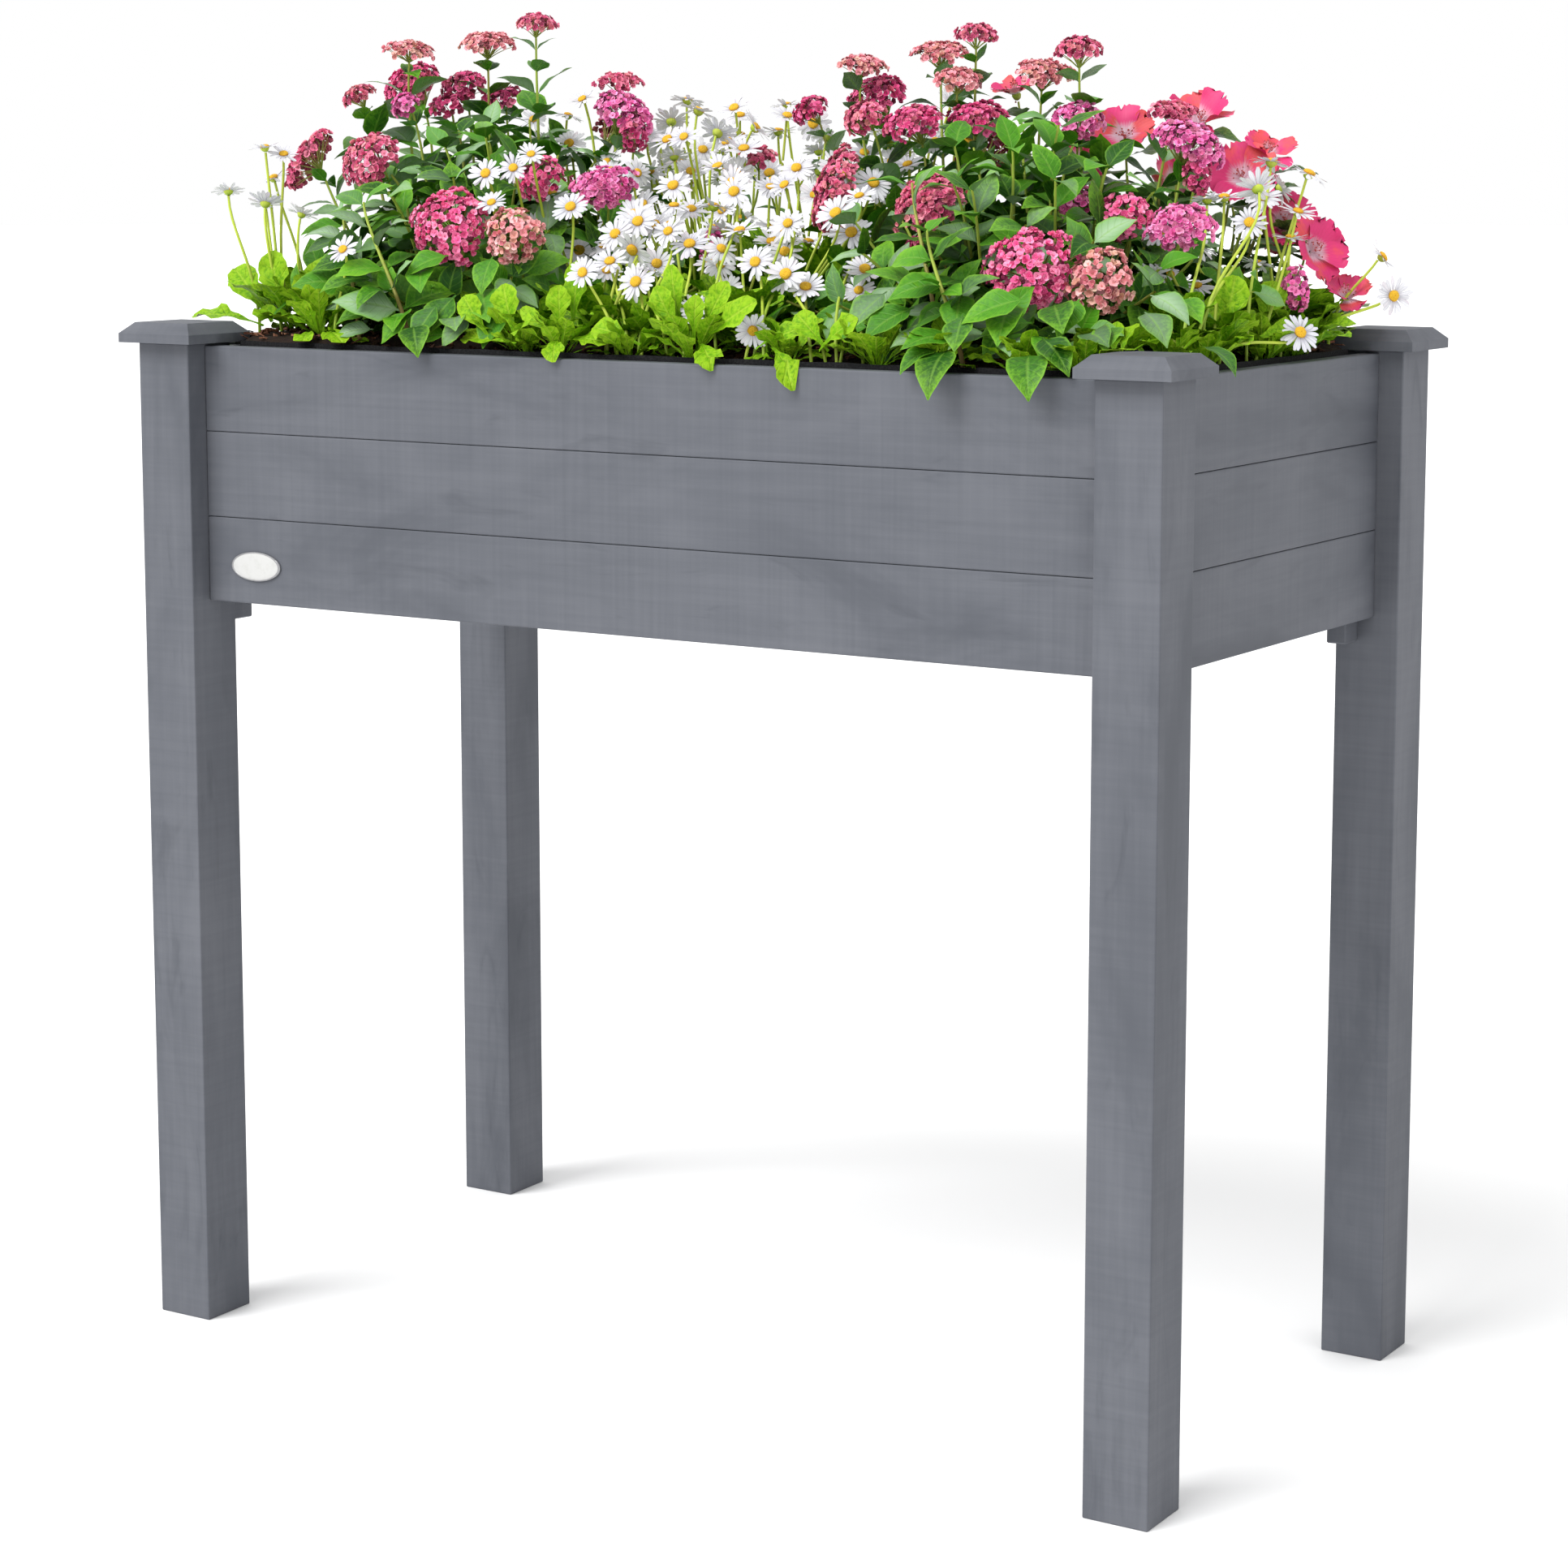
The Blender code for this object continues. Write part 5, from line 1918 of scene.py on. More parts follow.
@dataclass
class DaisyClump:
    """Daisies: rosettes of leaves on the soil, and flowers on thin stems.

    Attributes:
        label: Where it grows.
        crowns: Middles of its rosettes, with the length of their leaves.
        flowers: Flowers with places of their own.
        fill_low: Lowest corner, in plan, of the ground that other flowers fill.
        fill_high: Highest corner of it.
        fill: Number of those flowers.
        height: Their height in the middle of that ground.
        slope: How much higher they stand for each metre towards the back.
        seed: Start of its random numbers.
        lone_leaves: Leaves with places of their own.
        undergrowth: Rosettes that stand in the shade between the others, their leaves painted darker as
            shade.
        backdrop: Taller rosettes behind the flowers, their leaves painted darker as shade.
        front: Place across the bed that those other flowers stand behind.
        lowest: Their least height.
        room: Least distance between two flowers, where distance across the bed counts half.
        leaves: Leaves in a rosette.
        radius: A flower's radius.
        rays: Rays in a flower.
    """

    label: str
    crowns: tuple[Point, ...]
    flowers: tuple[Daisy, ...]
    fill_low: Pair
    fill_high: Pair
    fill: int
    height: float
    slope: float
    seed: int
    lone_leaves: tuple[LoneLeaf, ...]
    undergrowth: int
    backdrop: int = 0
    front: float = -1.0
    lowest: float = 0.79
    room: float = 0.016
    leaves: int = 16
    radius: float = 0.0126
    rays: int = 21

    def heads(self, rng: Random) -> tuple[Array, Array, Array]:
        """All flowers: their middles, ways and lifts.

        Args:
            rng: Random numbers.

        Returns:
            Middles, unit vectors, and lifts.
        """
        middles = [np.array(f.centre) for f in self.flowers]
        ways = [np.array(f.facing) for f in self.flowers]
        lifts = [f.lift for f in self.flowers]
        low, high = np.array(self.fill_low), np.array(self.fill_high)
        for _ in range(4000):
            if len(middles) == self.fill + len(self.flowers):
                break
            place = rng.uniform(low, high)
            height = self.height + self.slope * (place[1] - (low[1] + high[1]) / 2)
            spot = np.array((*place, height + rng.uniform(-0.045, 0.016)))
            gap = min(np.linalg.norm((spot - middle) * (1, 0.5, 1)) for middle in middles)
            if place[1] < self.front or spot[2] < self.lowest or gap < self.room:
                continue
            middles.append(spot)
            way = (0.1, 0.62, 0.7) if place[1] > 0.09 and rng.random() < 0.55 else (0.22, -0.62, 0.72)
            way = (-0.1, 0.35, 0.9) if rng.random() < 0.18 else way
            ways.append(way + rng.normal(0, 0.26, 3))
            lifts.append(rng.normal(0.12, 0.16))
        return np.array(middles), unit(np.array(ways)), np.array(lifts)

    def add_flowers(self, draft: Draft, middles: Array, ways: Array, lifts: Array, rng: Random) -> None:
        """Adds rays, discs and green cups.

        Args:
            draft: The mesh.
            middles: The flowers' middles.
            ways: The ways they face.
            lifts: How far their rays stand up.
            rng: Random numbers.
        """
        count = len(middles)
        total = count * self.rays
        size = self.radius * rng.uniform(0.86, 1.12, count)
        turn = rng.uniform(0, math.tau, (count, 1)) + math.tau * np.arange(self.rays) / self.rays
        turn = turn + rng.normal(0, 0.07, turn.shape)
        out, along, face = whorl(ways, turn, lifts[:, None] + rng.normal(0, 0.15, (count, self.rays)))
        base = middles[:, None] + out * (size * RAY_START)[:, None, None]
        length = np.repeat(size * RAY_LENGTH, self.rays) * rng.uniform(0.82, 1.1, total)
        tone = tones(np.repeat(rng.uniform(0, 1, count), self.rays), rng.uniform(0, 1, total))
        width = np.repeat(size * RAY_WIDTH, self.rays) * rng.uniform(0.8, 1.2, total)
        add_sheets(
            draft, RAY, tone, 0,
            base=base.reshape(-1, 3), along=along.reshape(-1, 3), face=face.reshape(-1, 3), length=length,
            width=width, droop=rng.normal(0.22, 0.22, total), fold=rng.normal(0.1, 0.1, total),
            twist=rng.normal(0, 0.18, total), curl=-0.15,
        )
        tone = tones(rng.uniform(0, 1, count))
        add_turned(draft, middles, ways, DISC_RINGS, 14, size, tone, 1, rough=0.035, seed=self.seed)
        add_turned(draft, middles, ways, CUP_RINGS, 10, size, tone, 2, rough=0.03, seed=self.seed + 1)

    def add_stems(self, draft: Draft, middles: Array, ways: Array, rng: Random) -> None:
        """Adds a stem from the nearest rosette to each flower.

        Args:
            draft: The mesh.
            middles: The flowers' middles.
            ways: The ways they face.
            rng: Random numbers.
        """
        crowns = np.array(self.crowns)[:, :2]
        nearest = np.argmin(np.linalg.norm(middles[:, None, :2] - crowns[None], axis=2), axis=1)
        feet = crowns[nearest] * 0.55 + middles[:, :2] * 0.45 + rng.normal(0, 0.005, (len(middles), 2))
        for number, flower in enumerate(self.flowers):
            if flower.foot:
                feet[number] = flower.foot
        most = np.array((BACK_X, BACK_Y)) - 0.014
        feet = np.clip(feet, -most, most)
        feet = np.column_stack([feet, Soil.height(*feet.T) - 0.003])
        ends = middles - ways * self.radius * 0.3
        length = np.linalg.norm(ends - feet, axis=1, keepdims=True)
        lean = unit(UP + rng.normal(0, 0.1, feet.shape))
        below = ends - unit(ways * 0.75 + UP * 0.6) * length * 0.26
        paths = arcs(feet, feet + lean * length * 0.45, below, ends, 11)
        add_tubes(draft, paths, np.linspace(0.0013, 0.001, 11), 6, tones(rng.uniform(0, 1, len(feet))))

    def add_rosettes(self, draft: Draft, rng: Random) -> None:
        """Adds the leaves round each crown.

        Args:
            draft: The mesh.
            rng: Random numbers.
        """
        rows: list[tuple] = []
        low, high, count = np.array(self.fill_low), np.array(self.fill_high), self.undergrowth
        shaded = np.column_stack([rng.uniform(low, high, (count, 2)), rng.uniform(0.048, 0.066, count)])
        low, high, count = (low[0], 0.02), (high[0], 0.15), self.backdrop
        behind = np.column_stack([rng.uniform(low, high, (count, 2)), rng.uniform(0.075, 0.1, count)])
        for place, (x, y, length) in enumerate([*self.crowns, *shaded, *behind]):
            shade = place >= len(self.crowns)
            # Painted shade: rosettes of the undergrowth and backdrop get darker, less lit leaves.
            bright = 0.6 if shade else 1.0
            least = 1.0 if length > 0.07 else 0.55 if shade else 0.3
            for number in range(self.leaves - 3 * shade):
                turn = number * GOLDEN_TURN + rng.normal(0, 0.15)
                rise = np.interp(number, (0, self.leaves), (least, 1.4)) + rng.normal(0, 0.14)
                out = np.array((math.cos(turn), math.sin(turn), 0.0))
                size = length * rng.uniform(0.75, 1.1)
                if abs(x + out[0] * size) > BACK_X or abs(y + out[1] * size) > BACK_Y:
                    rise = max(rise, rng.uniform(0.75, 1.25))
                base = np.array((x, y, Soil.height(x, y) + 0.001)) + out * 0.004
                along = out * math.cos(rise) + UP * math.sin(rise)
                face = UP * 0.9 - out * 0.4 + rng.normal(0, 0.12, 3)
                width = min(size, 0.06) * rng.uniform(0.4, 0.5)
                droop, fold, twist = rng.normal(0.65, 0.22), rng.normal(0.15, 0.1), rng.normal(0, 0.2)
                tone = (rng.uniform(0.3, 1) * bright, rng.uniform(0, 0.6), rng.uniform(0.2, 0.9) * bright)
                rows.append((base, along, face, size, width, droop, fold, twist, tone))
        add_sheets(draft, ROSETTE_LEAF, settle=True, **gathered(rows))
        add_lone_leaves(draft, ROSETTE_LEAF, self.lone_leaves, (0.6, 0.0, 0.5), (1.0, 0.5, 0.9))

    def build(self, leaf: Material, stem: Material, ray: Material, disc: Material) -> None:
        """Builds the clump.

        Args:
            leaf: The leaves' material.
            stem: The stems' material.
            ray: The rays' material.
            disc: The discs' material.
        """
        rng = np.random.default_rng(self.seed)
        middles, ways, lifts = self.heads(rng)
        leaves = Draft()
        self.add_rosettes(leaves, rng)
        put_on(leaves.build(f"daisy_leaves_{self.label}", leaf), "daisy_plant", f"daisies_{self.label}")
        stems = Draft()
        self.add_stems(stems, middles, ways, rng)
        put_on(stems.build(f"daisy_stems_{self.label}", stem), "daisy_plant")
        flowers = Draft()
        self.add_flowers(flowers, middles, ways, lifts, rng)
        put_on(flowers.build(f"daisy_flowers_{self.label}", ray, disc, stem), "daisy_plant")


DAISY_CLUMPS = (
    DaisyClump(
        label="left",
        crowns=(
            (-0.352, -0.126, 0.058), (-0.318, -0.142, 0.05), (-0.372, -0.08, 0.052), (-0.29, -0.168, 0.04),
            (-0.368, 0.06, 0.05), (-0.33, 0.16, 0.048), (-0.268, 0.168, 0.044), (-0.205, 0.166, 0.046),
            (-0.365, -0.005, 0.046),
        ),
        flowers=each(
            Daisy,
            ((-0.403, -0.14, 0.863), (-0.25, 0.25, 0.93), 0.25),
            ((-0.383, -0.12, 0.896), (-0.05, -0.15, 1.0), 0.3),
            ((-0.373, -0.11, 0.891), (0.3, -0.35, 0.85), 0.2),
            ((-0.392, -0.1, 0.873), (-0.1, -0.35, 0.9), 0.2),
            ((-0.389, -0.115, 0.858), (-0.1, -0.2, 0.95), 0.2),
            ((-0.375, -0.13, 0.854), (-0.2, 0.4, 0.85), 0.35),
            ((-0.348, -0.12, 0.846), (0.05, 0.45, 0.85), 0.45),
            ((-0.26, -0.18, 0.822), (0.1, -0.8, 0.55)),
            ((-0.189, -0.1, 0.877), (0.15, -0.85, 0.45), 0.12, (-0.2, -0.06)),
            ((-0.171, -0.09, 0.881), (0.25, -0.75, 0.55), 0.2, (-0.185, -0.05)),
            ((-0.162, -0.08, 0.891), (0.2, -0.6, 0.7), 0.2, (-0.17, -0.05)),
            ((-0.2, 0.04, 0.933), (-0.15, -0.6, 0.75), 0.25, (-0.19, 0.05)),
            ((-0.261, 0.06, 0.918), (0.2, -0.7, 0.6), 0.12, (-0.25, 0.06)),
            ((-0.242, 0.08, 0.921), (0.2, 0.2, 0.95), 0.0, (-0.235, 0.08)),
            ((-0.244, 0.05, 0.901), (0.1, 0.6, 0.7), 0.3, (-0.24, 0.05)),
            ((-0.227, 0.06, 0.899), (0.2, -0.7, 0.6), 0.2, (-0.22, 0.06)),
            ((-0.169, -0.12, 0.856), (0.1, -0.6, 0.75), 0.2, (-0.175, -0.1)),
        ),
        fill_low=(-0.375, -0.06), fill_high=(-0.3, 0.16), fill=12, height=0.866, slope=0.3, seed=31,
        lone_leaves=each(
            LoneLeaf,
            ((-0.364, -0.148, 0.762), (-0.9, -0.25, 0.35), (0.0, -0.3, 1.0), 0.062, 0.029, 0.55),
            ((-0.362, -0.14, 0.765), (-0.62, -0.05, 0.75), (0.3, -0.8, 0.5), 0.062, 0.027, 0.6),
            ((-0.356, -0.135, 0.765), (-0.25, 0.0, 1.0), (0.2, -0.9, 0.2), 0.056, 0.028, 0.3),
            ((-0.318, -0.14, 0.765), (0.1, -0.1, 1.0), (0.1, -0.9, 0.3), 0.05, 0.027, 0.4),
            ((-0.3, -0.168, 0.76), (0.35, -0.9, 0.15), (0.0, -0.4, 1.0), 0.032, 0.018, 0.9),
            ((-0.28, -0.176, 0.76), (0.75, -0.6, 0.25), (0.0, -0.3, 1.0), 0.04, 0.026, 0.9),
        ),
        undergrowth=7,
    ),
    DaisyClump(
        label="middle",
        crowns=(
            (-0.066, -0.178, 0.04), (0.044, -0.176, 0.046), (-0.122, -0.158, 0.04), (-0.01, -0.148, 0.04),
            (0.088, -0.146, 0.04), (-0.09, -0.13, 0.046), (-0.038, -0.126, 0.046), (0.144, -0.136, 0.036),
            (0.04, -0.12, 0.048), (-0.11, -0.06, 0.048), (-0.04, -0.07, 0.05), (0.03, -0.08, 0.048),
            (-0.08, 0.04, 0.048), (-0.01, 0.05, 0.048), (-0.13, 0.16, 0.046), (-0.06, 0.166, 0.048),
            (0.01, 0.162, 0.046), (0.118, -0.17, 0.034), (-0.1, -0.172, 0.028), (-0.01, -0.172, 0.034),
        ),
        flowers=each(
            Daisy,
            ((-0.136, 0.09, 0.932), (-0.05, 0.3, 0.95), 0.0),
            ((-0.119, 0.08, 0.924), (0.25, 0.3, 0.9), 0.0),
            ((-0.151, 0.09, 0.916), (-0.25, 0.6, 0.7), 0.3),
            ((-0.093, 0.09, 0.926), (0.05, -0.6, 0.78), 0.35),
            ((-0.082, 0.05, 0.907), (-0.05, 0.75, 0.55), 0.3),
            ((-0.106, 0.04, 0.904), (0.05, -0.75, 0.65), 0.2),
            ((-0.128, 0.05, 0.902), (-0.1, -0.65, 0.75), 0.25),
            ((-0.067, 0.08, 0.911), (0.65, 0.3, 0.55), 0.35),
            ((-0.045, 0.09, 0.92), (0.35, -0.3, 0.85), 0.2),
            ((-0.076, -0.02, 0.868), (0.15, -0.75, 0.62)),
            ((-0.016, -0.03, 0.864), (0.2, -0.82, 0.5), 0.12, (0.058, -0.166)),
            ((0.043, -0.05, 0.842), (0.15, -0.85, 0.5), 0.12, (0.086, -0.166)),
            ((-0.06, -0.09, 0.843), (0.15, -0.85, 0.5), 0.12, (-0.034, -0.168)),
            ((-0.073, -0.1, 0.834), (0.1, -0.85, 0.5), 0.12, (-0.04, -0.16)),
            ((-0.037, -0.085, 0.836), (0.1, -0.8, 0.58), 0.12, (-0.006, -0.17)),
            ((-0.058, -0.1, 0.823), (0.05, -0.75, -0.35), 0.2, (-0.03, -0.16)),
            ((-0.022, -0.08, 0.827), (0.25, -0.6, 0.72), 0.12, (0.038, -0.174)),
            ((0.066, -0.13, 0.817), (0.15, -0.88, 0.45), 0.12, (0.1, -0.172)),
            ((0.091, -0.13, 0.809), (0.2, -0.85, 0.48), 0.12, (0.148, -0.168)),
            ((0.101, -0.12, 0.8), (0.3, -0.5, 0.8), 0.25, (0.14, -0.175)),
            ((-0.047, -0.178, 0.809), (0.15, -0.9, 0.4), 0.12, (-0.022, -0.172)),
            ((-0.064, -0.12, 0.815), (0.15, -0.6, 0.75), 0.25, (-0.012, -0.172)),
            ((-0.021, -0.15, 0.802), (0.1, -0.85, 0.5), 0.12, (0.0, -0.175)),
            ((-0.015, -0.14, 0.809), (0.2, 0.3, 0.9), 0.2, (0.02, -0.172)),
            ((0.096, -0.05, 0.836), (0.25, -0.75, 0.6), 0.12, (0.16, -0.175)),
            ((0.131, -0.09, 0.812), (0.3, -0.6, 0.7), 0.15, (0.156, -0.166)),
            ((0.138, -0.11, 0.798), (0.2, -0.7, 0.65), 0.15, (0.172, -0.16)),
            ((0.019, 0.0, 0.881), (0.2, -0.7, 0.65), 0.12, (0.04, -0.06)),
            ((-0.116, -0.095, 0.853), (0.2, -0.7, 0.6), 0.12, (-0.11, -0.11)),
            ((0.04, -0.166, 0.784), (0.3, -0.8, 0.45), 0.45, (0.036, -0.175)),
            ((0.092, -0.174, 0.772), (0.45, -0.8, -0.2), 0.3, (0.086, -0.175)),
        ),
        fill_low=(-0.185, -0.15), fill_high=(0.11, 0.165), fill=108, height=0.866, slope=0.38, seed=32,
        lone_leaves=each(
            LoneLeaf,
            ((0.114, -0.187, 0.762), (0.95, -0.75, -0.05), (0.0, -0.2, 1.0), 0.048, 0.02, 1.35),
            ((0.056, -0.184, 0.762), (0.7, -0.8, 0.05), (0.0, -0.3, 1.0), 0.036, 0.022, 1.2),
            ((-0.062, -0.18, 0.761), (0.95, -0.3, 0.2), (0.0, -0.5, 0.9), 0.044, 0.02, 0.5),
            ((-0.064, -0.184, 0.762), (0.35, -0.85, 0.05), (0.0, -0.3, 1.0), 0.03, 0.018, 1.3),
            ((-0.068, -0.18, 0.762), (-0.75, -0.15, 0.6), (0.1, -0.9, 0.5), 0.038, 0.013, 0.4),
            ((-0.066, -0.178, 0.764), (0.0, -0.15, 1.0), (0.2, -0.9, 0.2), 0.036, 0.021, 0.3),
            ((-0.06, -0.172, 0.764), (0.05, -0.05, 1.0), (0.1, -0.9, 0.3), 0.054, 0.021, 0.35),
            ((0.04, -0.181, 0.762), (-0.5, -0.1, 0.85), (0.1, -0.9, 0.3), 0.046, 0.02, 0.3),
            ((0.034, -0.174, 0.764), (-0.25, 0.0, 1.0), (0.1, -0.9, 0.2), 0.054, 0.019, 0.3),
            ((0.052, -0.18, 0.762), (0.8, -0.15, 0.6), (0.1, -0.8, 0.5), 0.056, 0.023, 0.35),
            ((0.05, -0.178, 0.763), (0.45, -0.1, 0.85), (0.1, -0.9, 0.3), 0.048, 0.02, 0.35),
            ((0.048, -0.18, 0.762), (0.1, -0.2, 0.95), (0.2, -0.9, 0.2), 0.034, 0.017, 0.4),
            ((-0.102, -0.183, 0.758), (-0.95, 0.05, 0.12), (0.0, -0.5, 0.9), 0.052, 0.02, 0.2),
            ((-0.128, -0.178, 0.76), (-0.55, -0.15, 0.75), (0.1, -0.9, 0.3), 0.04, 0.021, 0.5),
            ((-0.104, -0.179, 0.76), (-0.25, -0.15, 0.9), (0.1, -0.9, 0.3), 0.042, 0.024, 0.45),
            ((-0.098, -0.182, 0.76), (0.25, -0.6, 0.5), (0.0, -0.7, 0.7), 0.034, 0.022, 0.9),
            ((0.004, -0.182, 0.76), (-0.8, -0.2, 0.4), (0.0, -0.7, 0.7), 0.04, 0.022, 0.5),
            ((0.1, -0.183, 0.76), (0.75, -0.1, 0.45), (0.0, -0.7, 0.7), 0.044, 0.022, 0.55),
            ((0.15, -0.182, 0.76), (0.6, -0.2, 0.6), (0.0, -0.8, 0.6), 0.038, 0.021, 0.6),
            ((0.156, -0.18, 0.76), (-0.55, -0.2, 0.7), (0.0, -0.8, 0.6), 0.036, 0.02, 0.6),
        ),
        undergrowth=18, backdrop=14, front=-0.07, radius=0.0138,
    ),
    DaisyClump(
        label="right",
        crowns=(
            (0.382, -0.07, 0.036), (0.384, 0.02, 0.034), (0.38, 0.085, 0.034), (0.35, -0.14, 0.036),
            (0.19, -0.172, 0.036), (0.24, -0.174, 0.034), (0.3, -0.174, 0.034), (0.345, -0.174, 0.034),
            (0.372, -0.11, 0.036), (0.34, 0.16, 0.048), (0.275, 0.168, 0.046), (0.205, 0.166, 0.046),
            (0.13, 0.168, 0.046), (0.366, -0.02, 0.048), (0.362, 0.13, 0.046),
        ),
        flowers=each(
            Daisy,
            ((0.372, 0.02, 0.845), (0.25, -0.85, 0.45), 0.12, (0.38, -0.082)),
            ((0.373, 0.03, 0.868), (-0.5, 0.45, 0.6), 0.45, (0.378, -0.06)),
            ((0.374, 0.05, 0.886), (0.05, 0.2, 1.0), 0.0, (0.382, 0.0)),
            ((0.389, 0.08, 0.878), (0.4, 0.1, 0.85), 0.0, (0.382, 0.04)),
            ((0.39, 0.06, 0.852), (0.35, -0.1, 0.9), 0.15, (0.382, 0.01)),
            ((0.385, 0.06, 0.834), (0.1, 0.0, 1.0), 0.1, (0.382, 0.055)),
            ((0.335, 0.03, 0.86), (-0.1, 0.2, 0.95), 0.2, (0.378, -0.1)),
            ((0.348, 0.03, 0.862), (0.05, -0.15, 0.95), 0.3, (0.38, -0.05)),
            ((0.416, 0.15, 0.819), (0.75, 0.3, 0.55), 0.0, (0.38, 0.14)),
            ((0.429, 0.14, 0.792), (0.75, -0.55, 0.1), 0.12, (0.382, 0.1)),
            ((0.412, 0.018, 0.771), (0.65, -0.65, 0.4), 0.0, (0.382, -0.047)),
        ),
        fill_low=(0.3, -0.06), fill_high=(0.385, 0.12), fill=9, height=0.846, slope=0.25, seed=33,
        lone_leaves=each(
            LoneLeaf,
            ((0.38, 0.0, 0.764), (0.7, 0.6, 0.35), (0.2, -0.8, 0.7), 0.044, 0.022, 0.5),
            ((0.376, -0.03, 0.764), (0.15, 0.1, 1.0), (0.4, -0.9, 0.2), 0.048, 0.026, 0.35),
            ((0.378, 0.03, 0.764), (0.1, 0.25, 1.0), (0.4, -0.9, 0.2), 0.044, 0.024, 0.35),
        ),
        undergrowth=10, radius=0.0136,
    ),
)


# ---- Mallow ----


MALLOW_PETAL = Blade(
    stations=((0.0, 0.16), (0.22, 0.46), (0.5, 0.86), (0.72, 1.0), (0.88, 0.92), (0.96, 0.74), (1.0, 0.5)),
    rows=11, columns=9, teeth=0.05, ripple=0.12, waves=1.3, bend_power=1.6, notch=0.2,
)
MALLOW_LEAF = Blade(
    stations=((0.0, 0.04), (0.14, 0.06), (0.2, 0.62), (0.34, 1.0), (0.52, 0.88), (0.66, 0.74), (0.82, 0.52),
              (0.94, 0.22), (1.0, 0.04)),
    rows=19, columns=5, teeth=0.14, ripple=0.16,
)


FILAMENT_FINISH = StemFinish("mallow_filament", (0.8, 0.62, 0.66), (0.72, 0.4, 0.46), (0.66, 0.25, 0.33))
ANTHER_FINISH = StemFinish("mallow_anther", (0.3, 0.03, 0.04), (0.42, 0.07, 0.06), (0.45, 0.2, 0.06))
# Radius and rise of the rings of a blossom's green cup, and of an anther
MALLOW_CUP = ((0.06, -0.24), (0.14, -0.18), (0.19, -0.04), (0.15, 0.06))
ANTHER = ((0.4, -0.8), (1.0, -0.2), (0.8, 0.6), (0.0, 1.0))


@dataclass(frozen=True)
class Blossom:
    """One open mallow blossom.

    Attributes:
        centre: Its middle.
        facing: The way it faces.
        radius: Its radius.
    """

    centre: Point
    facing: Point
    radius: float


